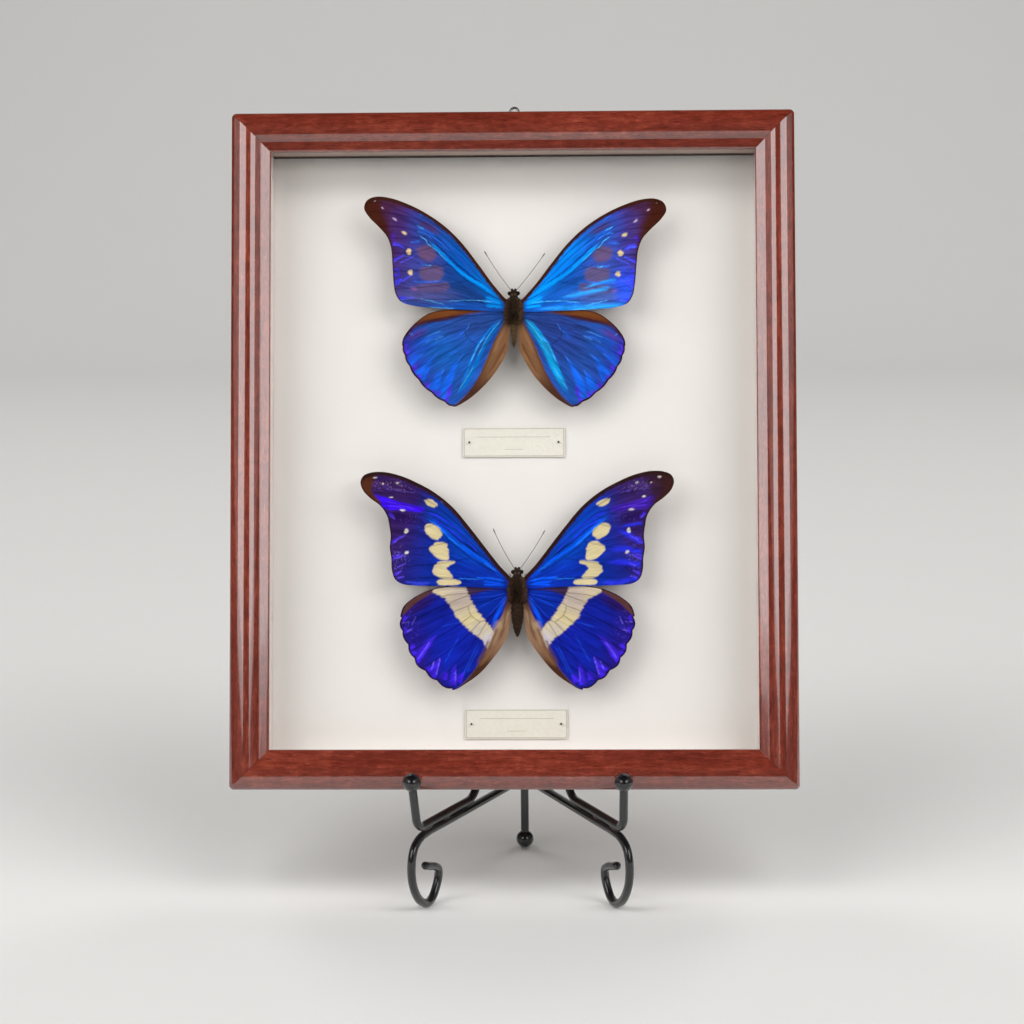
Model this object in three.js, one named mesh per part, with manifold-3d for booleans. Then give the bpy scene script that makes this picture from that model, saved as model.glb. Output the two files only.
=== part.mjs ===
// Two blue butterflies pinned in a glazed mahogany display frame that stands on a black wire easel.
// Millimetres, +Z up, +Y towards the back, origin at the bottom centre of the whole object's box.
import * as THREE from 'three';
import { mergeVertices } from 'three/addons/utils/BufferGeometryUtils.js';
import Module from 'manifold-3d';

const wasm = await Module();
wasm.setup();

// ---------------------------------------------------------------- driving dimensions

const GAP = 0.3; // air between pieces that touch

// picture frame, measured in its own plane: x across, y up, z out of the glass side
const FRAME_WIDTH = 250;
const FRAME_HEIGHT = 300;
const FRAME_DEPTH = 40;
const LEAN = THREE.MathUtils.degToRad(15.1);
const FRONT_EDGE_Y = -20;
const FRONT_EDGE_Z = 54.6;

// moulding section, from the outer side inwards and from the crest backwards
const SIDE_EDGE = 4.2;
const CREST_AT = 7.6;
const ARRIS_AT = 8.3;
const HOLLOW_END = { in: 12.6, back: 2.4 };
const SLOPE_END = { in: 16.3, back: 3.2 };
const SIGHT_EDGE = 16.8;
const LIP_BACK = 6;
const REBATE = 11.5;

// what the frame holds, as depths behind the crest
const GLASS_THICKNESS = 2;
const FLOOR_DEPTH = 22.5;
const FLOOR_THICKNESS = 5;
const PANEL_THICKNESS = 3;
const TAB = { width: 8, length: 14, thickness: 0.6, buried: 4 };
const TAB_PLACES = 62;

// hanger on the back of the top rail
const RING = { wire: 1.2, apex: 311.5, base: 296.2, halfBase: 9.4, corner: 2.2 };
const PLATE = { width: 30, height: 8.6, thickness: 0.8, barrelLength: 11 };
const SCREW = { at: 10.5, height: 291.6, shank: 1.2, head: 2.1, headHeight: 1.1, depth: 8 };

// the two insects: centre of the thorax in the frame, and how far each wing is turned
const WING_THICKNESS = 0.45;
const FOREWING_TOP = -12.3;
const HINDWING_TOP = FOREWING_TOP - WING_THICKNESS - GAP;
const WING_LIFT = 1.0;
const HALF_SPAN = 68;
const BODY_LEVEL = -12.9;
const PIN = { radius: 0.3, bore: 0.65, head: 0.65, top: -9.15, point: -26.3, at: -2.2 };
const UPPER = {
  name: 'upper', x: 0.3, y: 212, turn: THREE.MathUtils.degToRad(0.8),
  thorax: { halfWidth: 4.4, halfLength: 5.8, halfHeight: 3.2, at: -0.4 },
  abdomen: { radius: 1.35, tip: -16.5 },
  head: { radius: 2.1, at: 6.5 },
  feelers: { left: [-13.1, 27], right: [14.1, 26] },
};
const LOWER = {
  name: 'lower', x: 1.7, y: 88, turn: 0,
  thorax: { halfWidth: 3.2, halfLength: 6, halfHeight: 3.2, at: -0.6 },
  abdomen: { radius: 2.7, tip: -21.4 },
  head: { radius: 2.2, at: 6.4 },
  feelers: { left: [-10.7, 26.6], right: [12.4, 25.8] },
};
const LABEL = { width: 45.6, height: 13.2, thickness: 0.4, pinAt: 20 };
const LABEL_PLACES = [{ name: 'upper', x: 0, y: 154 }, { name: 'lower', x: 0.8, y: 28.1 }];
const LABEL_PIN = { radius: 0.35, bore: 0.65, head: 0.9 };

// wire easel: two wings that meet at the rear post
const ROD = 1.9;
const ROD_SIDES = 10;
const EASEL_SHIFT = 3;
const WING_ANGLE = THREE.MathUtils.degToRad(28.2);
const BEND_X = 44.9;
const BEND_Y = -24.2;
const WING_LENGTH = BEND_X / Math.sin(WING_ANGLE);
const ARM_Z = 38.3;
const BEND_RADIUS = 4.5;
const HEEL_RADIUS = 8.5;
const POST_TOP = 190;
const POST_CLEARANCE = 4.6;
const FOOT_ROD_Z = 34.4;
const BALL = 4.1;
const BALL_LEAN = 1.4;
const BALL_SINK = 1.4;
const FRONT_BALL_Z = 59.6;
// scroll foot in the plane of its wing: distance behind the bend, and height
const SCROLL = [
  [20, FOOT_ROD_Z], [9, FOOT_ROD_Z], [2.5, 33.6], [-2.4, 30.8], [-4.9, 26], [-5.6, 20.8], [-4.9, 15.1],
  [-2.6, 9.6], [1.2, 4.8], [6.6, 1.95], [11.2, 2.9], [14.4, 6.4], [16.6, 10.9], [16.6, 14.6],
  [13.6, 16.8], [9, 18.4], [4.2, 20.1],
];

// wing outlines, x outwards from the thorax and y towards the head
const OUTLINES = {
  upperForewing: [
    [2.5, 4], [5.2, 7.1], [10, 12.8], [17, 22.2], [24, 31], [31.5, 38.2], [40, 44], [48.5, 48.2],
    [56, 50.7], [62.5, 51.3], [66.6, 49.6], [67.9, 46], [65.6, 42], [61, 37.4], [57.4, 33.2],
    [55.5, 28], [54.8, 21], [54.2, 13], [53.2, 7.5], [50.8, 4], [45, 2.1], [34, 1.1], [20, 0.4],
    [8, -0.2], [2.5, 0.5],
  ],
  upperHindwing: [
    [1.5, -1], [12, 0.4], [22, 1], [32, 0.6], [38, -0.9], [43, -4.2], [47, -8.2], [49.6, -12.3],
    [50.1, -15.5], [49.2, -20], [47, -25], [43, -31], [37, -37], [31.2, -41], [26.9, -43],
    [21.6, -40.6], [16.6, -36.8], [10.7, -30.7], [6, -24], [2.8, -17.5], [1.9, -11], [1.5, -6],
  ],
  lowerForewing: [
    [2, 3.5], [4, 6], [8, 10.3], [14.3, 18.4], [21.2, 27.3], [29, 36.5], [37, 43], [44.5, 47.2],
    [52.5, 50.6], [60, 52.2], [65.5, 51.9], [68.8, 50.4], [70, 47.6], [68.9, 44], [65.8, 40.6],
    [61, 36.9], [58, 32.2], [57, 27.4], [56.5, 23.4], [56.9, 18.3], [56.2, 13.4], [56, 8.6],
    [54.6, 4.3], [51.4, 2.1], [44, 1.3], [30, 1], [16, 0.4], [5.7, -0.1], [2, 0.5],
  ],
  lowerHindwing: [
    [1.5, -1.5], [12, 0.7], [24, 1.5], [34, 0.7], [41, -1.3], [46.8, -4.4], [50.8, -8], [52.3, -12.5],
    [52.3, -18.2], [50.2, -23.5], [48, -28.8], [45, -34], [40, -38.7], [35.5, -42.2], [29, -45.2],
    [23, -42.3], [16.5, -37.5], [10.2, -30.2], [5, -22.5], [3.2, -16], [2.8, -8],
  ],
};
// scalloped stretch of each hindwing, from one point of its outline to another, with the notches' depth
const SCALLOPS = {
  upperHindwing: { from: 8, to: 14, lobes: 6, depth: 0.45 },
  lowerHindwing: { from: 7, to: 14, lobes: 6, depth: 0.9 },
};
const STEPS_PER_POINT = 2;
const STEPS_PER_LOBE = 6;

// ---------------------------------------------------------------- finishes

const finish = (colour, roughness, metalness = 0) =>
  new THREE.MeshStandardMaterial({ color: colour, roughness, metalness });
const mahogany = finish('#6b2a1e', 0.3);
const glass = new THREE.MeshStandardMaterial({
  color: '#f4f7f6', roughness: 0.03, metalness: 0, transparent: true, opacity: 0.18,
});
const creamBoard = finish('#ddd6cb', 0.9);
const hardboard = finish('#7a5a3c', 0.85);
const steel = finish('#b9bcc0', 0.3, 1);
const card = finish('#efe7d2', 0.8);
const blackWire = finish('#0c0c0d', 0.22, 0.1);
const upperBlue = finish('#1f4fae', 0.45, 0.1);
const lowerBlue = finish('#1f22a0', 0.45, 0.1);
const darkFur = finish('#2b1f18', 0.95);
const pinSteel = finish('#2a2a2c', 0.35, 0.9);

// ---------------------------------------------------------------- solids

/** Turns a closed geometry into a solid that can be joined and cut. */
function solid(geometry) {
  const bare = geometry.index ? geometry.toNonIndexed() : geometry.clone();
  bare.deleteAttribute('normal');
  bare.deleteAttribute('uv');
  const merged = mergeVertices(bare, 1e-4);
  const triVerts = Array.from(merged.index.array);
  const kept = [];
  for (let i = 0; i < triVerts.length; i += 3) {
    const [a, b, c] = triVerts.slice(i, i + 3);
    if (a !== b && b !== c && c !== a) kept.push(a, b, c);
  }
  return new wasm.Manifold(new wasm.Mesh({
    numProp: 3,
    vertProperties: new Float32Array(merged.attributes.position.array),
    triVerts: new Uint32Array(kept),
  }));
}

/** Gives a solid back as a geometry with flat faces. */
function geometryOf(body) {
  const mesh = body.getMesh();
  const geometry = new THREE.BufferGeometry();
  geometry.setAttribute('position', new THREE.BufferAttribute(new Float32Array(mesh.vertProperties), 3));
  geometry.setIndex(new THREE.BufferAttribute(new Uint32Array(mesh.triVerts), 1));
  geometry.computeVertexNormals();
  return geometry;
}

/** Joins several closed geometries into one. */
function join(...geometries) {
  return geometryOf(geometries.map(solid).reduce((whole, next) => whole.add(next)));
}

/** Cuts closed geometries away from another. */
function cut(geometry, ...tools) {
  return geometryOf(tools.map(solid).reduce((whole, tool) => whole.subtract(tool), solid(geometry)));
}

/** A box given by its size and its centre. */
function block(width, height, depth, x = 0, y = 0, z = 0) {
  return new THREE.BoxGeometry(width, height, depth).translate(x, y, z);
}

/** A round peg along z between two levels. */
function peg(radius, x, y, low, high, sides = 8) {
  return new THREE.CylinderGeometry(radius, radius, high - low, sides)
    .rotateX(Math.PI / 2)
    .translate(x, y, (low + high) / 2);
}

/** A ball squashed along the axes. */
function egg(halfX, halfY, halfZ, x, y, z, around = 10, along = 7) {
  return new THREE.SphereGeometry(1, around, along).scale(halfX, halfY, halfZ).translate(x, y, z);
}

/** A path that ExtrudeGeometry follows exactly through its points, without evening them out. */
class PointPath extends THREE.Curve {
  constructor(points) {
    super();
    this.points = points;
  }

  getPointAt(u, target = new THREE.Vector3()) {
    return target.copy(this.points[Math.round(u * (this.points.length - 1))]);
  }

  getTangentAt(u, target = new THREE.Vector3()) {
    const i = Math.round(u * (this.points.length - 1));
    const before = this.points[Math.max(i - 1, 0)];
    const here = this.points[i];
    const after = this.points[Math.min(i + 1, this.points.length - 1)];
    const arriving = here.clone().sub(before).normalize();
    const leaving = after.clone().sub(here).normalize();
    return target.copy(arriving.add(leaving).normalize());
  }

  getPoint(t, target) {
    return this.getPointAt(t, target);
  }
}

/** A round rod through the points of a path. */
function rod(points, radius, sides) {
  const section = new THREE.Shape(
    Array.from({ length: sides }, (_, i) => {
      const angle = (2 * Math.PI * i) / sides;
      return new THREE.Vector2(radius * Math.cos(angle), radius * Math.sin(angle));
    }),
  );
  return new THREE.ExtrudeGeometry(section, {
    steps: points.length - 1,
    extrudePath: new PointPath(points),
    bevelEnabled: false,
  });
}

/** The points of a bent rod in a plane: straight runs between corners that are rounded by arcs. */
function bentLine(corners, radii, arcSteps) {
  const points = [corners[0].clone()];
  for (let i = 1; i < corners.length - 1; i += 1) {
    const into = corners[i].clone().sub(corners[i - 1]).normalize();
    const out = corners[i + 1].clone().sub(corners[i]).normalize();
    const turn = Math.acos(THREE.MathUtils.clamp(into.dot(out), -1, 1));
    const radius = radii[i - 1];
    const start = corners[i].clone().addScaledVector(into, -radius * Math.tan(turn / 2));
    const side = out.clone().addScaledVector(into, -Math.cos(turn)).normalize();
    const steps = Math.max(2, Math.round(arcSteps * turn));
    for (let k = 0; k <= steps; k += 1) {
      const angle = (turn * k) / steps;
      points.push(start.clone()
        .addScaledVector(into, radius * Math.sin(angle))
        .addScaledVector(side, radius * (1 - Math.cos(angle))));
    }
  }
  points.push(corners[corners.length - 1].clone());
  return points;
}

// ---------------------------------------------------------------- the tree of pieces

const whole = new THREE.Group();
const object = new THREE.Group();
const frame = new THREE.Group();
const easel = new THREE.Group();
whole.add(object);
object.add(frame, easel);
frame.rotation.x = Math.PI / 2 - LEAN;
frame.position.set(0, FRONT_EDGE_Y, FRONT_EDGE_Z);
easel.position.x = EASEL_SHIFT;

/** Adds one named piece to a group. */
function place(group, name, geometry, material) {
  const mesh = new THREE.Mesh(geometry, material);
  mesh.name = name;
  group.add(mesh);
  return mesh;
}

// ---------------------------------------------------------------- rails

/** The moulding's section: x inwards from the outer side, y out of the front. */
function mouldingSection() {
  const shape = new THREE.Shape();
  shape.moveTo(0, -FRAME_DEPTH);
  shape.lineTo(REBATE, -FRAME_DEPTH);
  shape.lineTo(REBATE, -LIP_BACK);
  shape.lineTo(SIGHT_EDGE, -LIP_BACK);
  shape.lineTo(SIGHT_EDGE, -SLOPE_END.back - 0.6);
  shape.lineTo(SLOPE_END.in, -SLOPE_END.back);
  shape.lineTo(HOLLOW_END.in, -HOLLOW_END.back);
  shape.quadraticCurveTo(ARRIS_AT + 2.4, -0.9, ARRIS_AT, -0.1);
  shape.lineTo(CREST_AT, 0);
  shape.absellipse(CREST_AT, -SIDE_EDGE, CREST_AT, SIDE_EDGE, Math.PI / 2, Math.PI, false, 0);
  return shape;
}

/** A rail along x whose ends are mitred at 45 degrees, with its outer side at y = 0 and y inwards. */
function rail(length) {
  const geometry = new THREE.ExtrudeGeometry(mouldingSection(), {
    depth: 1, steps: 1, curveSegments: 6, bevelEnabled: false,
  });
  const position = geometry.attributes.position;
  const mitreGap = (GAP / 2) * Math.SQRT2;
  for (let i = 0; i < position.count; i += 1) {
    const inwards = position.getX(i);
    const outOfFront = position.getY(i);
    const end = position.getZ(i) > 0.5 ? 1 : -1;
    position.setXYZ(i, end * (length / 2 - inwards - mitreGap), inwards, outOfFront);
  }
  geometry.computeVertexNormals();
  return geometry;
}

const railPlaces = [
  { name: 'bottom_rail', length: FRAME_WIDTH, x: 0, y: 0, turn: 0 },
  { name: 'right_rail', length: FRAME_HEIGHT, x: FRAME_WIDTH / 2, y: FRAME_HEIGHT / 2, turn: Math.PI / 2 },
  { name: 'top_rail', length: FRAME_WIDTH, x: 0, y: FRAME_HEIGHT, turn: Math.PI },
  { name: 'left_rail', length: FRAME_HEIGHT, x: -FRAME_WIDTH / 2, y: FRAME_HEIGHT / 2, turn: -Math.PI / 2 },
];
const panelBack = -(FLOOR_DEPTH + FLOOR_THICKNESS + GAP + PANEL_THICKNESS);
const tabLevel = panelBack - GAP - TAB.thickness / 2;

/** The slot in a rail that one tab is pushed into, in the rail's own axes. */
function tabSlot(along) {
  const reach = TAB.buried + GAP;
  return block(TAB.width + 2 * GAP, reach + 1, TAB.thickness + 2 * GAP, along, REBATE - reach / 2 + 0.5, tabLevel);
}

/** The hole of one hanger screw in the top rail, in the rail's own axes. */
function screwHole(along) {
  const inwards = FRAME_HEIGHT - SCREW.height;
  return peg(SCREW.shank + GAP, along, inwards, -FRAME_DEPTH - 1, -FRAME_DEPTH + SCREW.depth + GAP, 10);
}

let tabNumber = 0;
for (const { name, length, x, y, turn } of railPlaces) {
  const places = [-TAB_PLACES, TAB_PLACES];
  const tools = places.map(tabSlot);
  if (name === 'top_rail') tools.push(screwHole(-SCREW.at), screwHole(SCREW.at));
  const mesh = place(frame, name, cut(rail(length), ...tools), mahogany);
  mesh.position.set(x, y, 0);
  mesh.rotation.z = turn;
  for (const along of places) {
    tabNumber += 1;
    const tab = place(frame, `back_tab_${tabNumber}`, block(
      TAB.width, TAB.length, TAB.thickness, along, REBATE - TAB.buried + TAB.length / 2, tabLevel,
    ), steel);
    tab.position.set(x, y, 0);
    tab.rotation.z = turn;
  }
}

// ---------------------------------------------------------------- glass, lining and boards

const FIT = 0.4;
const paneWidth = FRAME_WIDTH - 2 * (REBATE + FIT);
const paneHeight = FRAME_HEIGHT - 2 * (REBATE + FIT);
const middle = FRAME_HEIGHT / 2;
const glassBack = LIP_BACK + GAP + GLASS_THICKNESS;
const liningWidth = SIGHT_EDGE - REBATE - FIT;
const liningDepth = FLOOR_DEPTH - glassBack - 2 * GAP;
const liningLevel = -(glassBack + FLOOR_DEPTH) / 2;

place(frame, 'glass_pane', block(
  paneWidth, paneHeight, GLASS_THICKNESS, 0, middle, -(LIP_BACK + GAP + GLASS_THICKNESS / 2),
), glass);
for (const side of [-1, 1]) {
  place(frame, side < 0 ? 'bottom_lining' : 'top_lining', block(
    paneWidth, liningWidth, liningDepth, 0, middle + side * (paneHeight - liningWidth) / 2, liningLevel,
  ), creamBoard);
  place(frame, side < 0 ? 'left_lining' : 'right_lining', block(
    liningWidth, paneHeight - 2 * (liningWidth + GAP), liningDepth,
    side * (paneWidth - liningWidth) / 2, middle, liningLevel,
  ), creamBoard);
}

const insectPinHoles = [UPPER, LOWER].map(({ x, y }) =>
  peg(PIN.bore, x, y + PIN.at, -FLOOR_DEPTH - FLOOR_THICKNESS - 1, -FLOOR_DEPTH + 1));
const labelPinHoles = LABEL_PLACES.flatMap(({ x, y }) => [-1, 1].map((side) =>
  peg(LABEL_PIN.bore, x + side * LABEL.pinAt, y, -FLOOR_DEPTH - FLOOR_THICKNESS - 1, -FLOOR_DEPTH + 1)));
place(frame, 'backing_board', cut(
  block(paneWidth, paneHeight, FLOOR_THICKNESS, 0, middle, -FLOOR_DEPTH - FLOOR_THICKNESS / 2),
  ...insectPinHoles, ...labelPinHoles,
), creamBoard);
place(frame, 'back_panel', block(
  paneWidth, paneHeight, PANEL_THICKNESS, 0, middle, panelBack + PANEL_THICKNESS / 2,
), hardboard);

// ---------------------------------------------------------------- hanger

const barrel = RING.wire * 0.5 * Math.SQRT2 + GAP + PLATE.thickness;
const ringLevel = -FRAME_DEPTH - GAP - barrel;

/** A triangle with rounded corners, as a closed outline. */
function roundedTriangle(halfBase, base, apex, corner) {
  const corners = [[-halfBase, base], [halfBase, base], [0, apex]].map(([x, y]) => new THREE.Vector2(x, y));
  const outline = [];
  corners.forEach((point, i) => {
    const before = corners[(i + 2) % 3];
    const after = corners[(i + 1) % 3];
    const rounded = bentLine([before, point, after], [corner], 3);
    outline.push(...rounded.slice(1, -1));
  });
  return outline;
}

const ringOuter = new THREE.Shape(roundedTriangle(RING.halfBase, RING.base, RING.apex + 1.3, RING.corner));
const wireShare = RING.wire;
ringOuter.holes.push(new THREE.Path(roundedTriangle(
  RING.halfBase - 1.9 * wireShare, RING.base + wireShare, RING.apex + 1.3 - 1.95 * wireShare,
  RING.corner - wireShare,
)));
place(frame, 'hanger_ring', new THREE.ExtrudeGeometry(ringOuter, {
  depth: RING.wire, steps: 1, bevelEnabled: false,
}).translate(0, 0, ringLevel - RING.wire / 2), steel);

const barAt = RING.base + RING.wire / 2;
const plateBottom = barAt - PLATE.height;
const plateLevel = -FRAME_DEPTH - GAP - PLATE.thickness / 2;

/** A round bar along x. */
function barAlongX(radius, length, y, z) {
  return new THREE.CylinderGeometry(radius, radius, length, 12).rotateZ(Math.PI / 2).translate(0, y, z);
}

place(frame, 'hanger_plate', cut(
  join(
    block(PLATE.width, PLATE.height, PLATE.thickness, 0, plateBottom + PLATE.height / 2, plateLevel),
    barAlongX(barrel, PLATE.barrelLength, barAt, ringLevel),
  ),
  barAlongX(barrel - PLATE.thickness, PLATE.width + 2, barAt, ringLevel),
  peg(SCREW.shank + GAP, -SCREW.at, SCREW.height, plateLevel - 1, plateLevel + 1, 10),
  peg(SCREW.shank + GAP, SCREW.at, SCREW.height, plateLevel - 1, plateLevel + 1, 10),
), steel);
const headLevel = plateLevel - PLATE.thickness / 2 - GAP;
for (const side of [-1, 1]) {
  place(frame, side < 0 ? 'hanger_screw_left' : 'hanger_screw_right', join(
    peg(SCREW.head, side * SCREW.at, SCREW.height, headLevel - SCREW.headHeight, headLevel, 12),
    peg(SCREW.shank, side * SCREW.at, SCREW.height, headLevel - 0.2, -FRAME_DEPTH + SCREW.depth, 10),
  ), steel);
}

// ---------------------------------------------------------------- butterflies

/** The smooth outline of a wing, with the notches of its scalloped stretch. */
function wingOutline(kind) {
  const points = OUTLINES[kind].map(([x, y]) => new THREE.Vector3(x, y, 0));
  const curve = new THREE.CatmullRomCurve3(points, true, 'centripetal');
  const { from, to, lobes, depth } = SCALLOPS[kind] ?? { from: 0, to: 0, lobes: 0, depth: 0 };
  const outline = [];
  const follow = (start, end, steps, notched) => {
    for (let i = 0; i < steps; i += 1) {
      const along = i / steps;
      const t = (start + (end - start) * along) / points.length;
      const point = curve.getPoint(t);
      const inwards = notched ? depth * (1 - Math.abs(Math.sin(Math.PI * lobes * along))) : 0;
      const tangent = curve.getTangent(t);
      outline.push(new THREE.Vector2(point.x + tangent.y * inwards, point.y - tangent.x * inwards));
    }
  };
  follow(0, from, from * STEPS_PER_POINT, false);
  follow(from, to, lobes * STEPS_PER_LOBE, true);
  follow(to, points.length, (points.length - to) * STEPS_PER_POINT, false);
  return outline;
}

/** A thin wing on one side of the body, turned a little about its root and lifted towards its tip. */
function wing(kind, side, turn, top) {
  const cos = Math.cos(turn);
  const sin = Math.sin(turn);
  const outline = wingOutline(kind).map(({ x, y }) =>
    new THREE.Vector2(side * (x * cos - y * sin), x * sin + y * cos));
  const geometry = new THREE.ExtrudeGeometry(new THREE.Shape(outline), {
    depth: WING_THICKNESS, steps: 1, bevelEnabled: false,
  });
  const position = geometry.attributes.position;
  for (let i = 0; i < position.count; i += 1) {
    const lift = WING_LIFT * (position.getX(i) / HALF_SPAN) ** 2;
    position.setZ(i, position.getZ(i) + top - WING_THICKNESS + lift);
  }
  return geometry;
}

/** The pieces of the trunk, each grown by a margin on every side. */
function trunkParts({ thorax, abdomen, head }, margin) {
  const waist = thorax.at - thorax.halfLength * 0.6;
  const length = waist - abdomen.tip;
  const profile = [
    [0, -margin], [0.45, 0], [0.8, 0.25], [1, 0.55], [0.95, 0.8], [0.6, 1], [0, 1.04],
  ].map(([radius, along]) => new THREE.Vector2(
    radius === 0 ? 0 : radius * abdomen.radius + margin,
    along <= 0 ? -margin + (radius === 0 ? 0 : margin) : along * length,
  ));
  const tail = new THREE.LatheGeometry(profile, 10)
    .scale(1, 1, 0.95)
    .translate(0, abdomen.tip, BODY_LEVEL - 0.4);
  return [
    egg(thorax.halfWidth + margin, thorax.halfLength + margin, thorax.halfHeight + margin, 0, thorax.at, BODY_LEVEL, 12, 8),
    tail,
    egg(head.radius + margin, head.radius * 0.85 + margin, head.radius * 0.85 + margin, 0, head.at, BODY_LEVEL),
  ];
}

/** Feelers, eyes and the six folded legs. */
function limbs({ thorax, head, feelers }) {
  const parts = [];
  const legs = [{ at: 2.6, reach: 3.2 }, { at: -0.4, reach: -1 }, { at: -3, reach: -4.4 }];
  for (const side of [-1, 1]) {
    parts.push(egg(0.95, 0.9, 0.95, side * head.radius * 0.75, head.at + 0.5, BODY_LEVEL + 0.2, 7, 5));
    const [tipX, tipY] = side < 0 ? feelers.left : feelers.right;
    const root = new THREE.Vector3(side * 0.8, head.at + 1, BODY_LEVEL + 1.1);
    const tip = new THREE.Vector3(tipX, tipY, BODY_LEVEL + 2.2);
    const along = tip.clone().sub(root);
    const bow = new THREE.Vector3(side * 0.5, 0, 0.4);
    const stalk = [0, 0.35, 0.7, 1].map((t) =>
      root.clone().addScaledVector(along, t).addScaledVector(bow, 4 * t * (1 - t)));
    parts.push(rod(stalk, 0.26, 5));
    const club = [0.82, 1.02].map((t) => root.clone().addScaledVector(along, t));
    parts.push(rod(club, 0.42, 5));
    for (const { at, reach } of legs) {
      const hip = new THREE.Vector3(side * thorax.halfWidth * 0.35, at, BODY_LEVEL - 2);
      const knee = new THREE.Vector3(side * (thorax.halfWidth + 1.2), at + reach * 0.6, BODY_LEVEL - 3.4);
      const shin = new THREE.Vector3(side * (thorax.halfWidth + 0.4), at + reach, BODY_LEVEL - 6);
      const toe = new THREE.Vector3(side * (thorax.halfWidth + 1), at + reach * 1.3, BODY_LEVEL - 7.6);
      parts.push(rod([hip, knee, shin, toe], 0.32, 5));
    }
  }
  return parts;
}

for (const insect of [UPPER, LOWER]) {
  const group = new THREE.Group();
  group.position.set(insect.x, insect.y, 0);
  frame.add(group);
  const pinBore = peg(PIN.bore, 0, PIN.at, BODY_LEVEL - 12, BODY_LEVEL + 12);
  const body = join(...trunkParts(insect, 0), ...limbs(insect));
  place(group, `${insect.name}_body`, cut(body, pinBore), darkFur);
  const blue = insect === UPPER ? upperBlue : lowerBlue;
  const room = trunkParts(insect, GAP);
  for (const side of [-1, 1]) {
    const sideName = side < 0 ? 'left' : 'right';
    const turn = side < 0 ? insect.turn : -insect.turn;
    const fore = wing(`${insect.name}Forewing`, side, turn, FOREWING_TOP);
    const hind = wing(`${insect.name}Hindwing`, side, turn / 2, HINDWING_TOP);
    place(group, `${insect.name}_${sideName}_forewing`, cut(fore, ...room), blue);
    place(group, `${insect.name}_${sideName}_hindwing`, cut(hind, ...room), blue);
  }
  place(group, `${insect.name}_pin`, join(
    peg(PIN.radius, 0, PIN.at, PIN.point, PIN.top, 6),
    egg(PIN.head, PIN.head, PIN.head, 0, PIN.at, PIN.top, 8, 6),
  ), pinSteel);
}

// ---------------------------------------------------------------- labels

const cardLevel = -FLOOR_DEPTH + GAP + LABEL.thickness / 2;
for (const { name, x, y } of LABEL_PLACES) {
  const holes = [-1, 1].map((side) =>
    peg(LABEL_PIN.bore, x + side * LABEL.pinAt, y, cardLevel - 1, cardLevel + 1));
  place(frame, `${name}_label`, cut(
    block(LABEL.width, LABEL.height, LABEL.thickness, x, y, cardLevel), ...holes,
  ), card);
  for (const side of [-1, 1]) {
    const pinX = x + side * LABEL.pinAt;
    const headLow = cardLevel + LABEL.thickness / 2 + GAP;
    place(frame, `${name}_label_pin_${side < 0 ? 'left' : 'right'}`, join(
      peg(LABEL_PIN.radius, pinX, y, -FLOOR_DEPTH - FLOOR_THICKNESS + 1, headLow + 0.3, 6),
      egg(LABEL_PIN.head, LABEL_PIN.head, LABEL_PIN.head * 0.8, pinX, y, headLow + LABEL_PIN.head * 0.8, 8, 5),
    ), pinSteel);
  }
}

// ---------------------------------------------------------------- easel

/** A point in the plane of one easel wing, from its distance behind the bend and its height. */
function onWing(side, distance, height, shift = 0) {
  return new THREE.Vector3(
    side * (BEND_X - distance * Math.sin(WING_ANGLE)) + shift,
    BEND_Y + distance * Math.cos(WING_ANGLE),
    height,
  );
}

const postY = BEND_Y + WING_LENGTH * Math.cos(WING_ANGLE);
// the uprights run just behind the backs of the rails, and turn vertical beside the post
const behindRails = (FRAME_DEPTH + GAP + ROD + Math.sin(LEAN) * (ARM_Z - FRONT_EDGE_Z)) / Math.cos(LEAN);
const heelAt = (behindRails + FRONT_EDGE_Y - BEND_Y) / Math.cos(WING_ANGLE);
const uprightEnd = WING_LENGTH - POST_CLEARANCE;
const uprightTop = ARM_Z + ((uprightEnd - heelAt) * Math.cos(WING_ANGLE)) / Math.tan(LEAN);
const wedge = 40;

for (const side of [-1, 1]) {
  const name = side < 0 ? 'left' : 'right';
  const ballCentre = onWing(side, 0, FRONT_BALL_Z, -BALL_LEAN);
  const arm = rod(bentLine([
    ballCentre.clone().add(new THREE.Vector3(0, 0, -BALL_SINK)),
    onWing(side, 0, ARM_Z),
    onWing(side, heelAt, ARM_Z),
    onWing(side, uprightEnd, uprightTop),
    onWing(side, uprightEnd, POST_TOP),
  ], [BEND_RADIUS, HEEL_RADIUS, 8], 5), ROD, ROD_SIDES);
  place(easel, `${name}_arm`, arm, blackWire);
  place(easel, `${name}_ball`, cut(
    egg(BALL, BALL, BALL, ballCentre.x, ballCentre.y, ballCentre.z, 16, 8),
    peg(ROD + GAP, ballCentre.x + 0.05, ballCentre.y, ballCentre.z - BALL - 1, ballCentre.z - BALL_SINK + GAP, 12),
  ), blackWire);

  const scroll = new THREE.CatmullRomCurve3(
    SCROLL.map(([distance, height]) => onWing(side, distance, height)), false, 'centripetal',
  ).getPoints(28);
  const footRod = rod([onWing(side, WING_LENGTH, FOOT_ROD_Z), ...scroll], ROD, ROD_SIDES);
  place(easel, `${name}_foot`, cut(
    footRod,
    peg(ROD + GAP, 0, postY, FOOT_ROD_Z - wedge, FOOT_ROD_Z + wedge, 12),
    block(wedge, wedge, wedge, -side * (wedge / 2 - GAP / 2), postY, FOOT_ROD_Z),
    block(wedge, wedge, wedge, 0, postY + wedge / 2, FOOT_ROD_Z),
  ), blackWire);
}

place(easel, 'rear_post', peg(ROD, 0, postY, BALL + BALL_SINK, POST_TOP, 12), blackWire);
place(easel, 'rear_ball', cut(
  egg(BALL, BALL, BALL, 0, postY, BALL, 16, 8),
  peg(ROD + GAP, 0, postY, BALL + BALL_SINK - GAP, 2 * BALL + 1, 12),
), blackWire);

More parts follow.
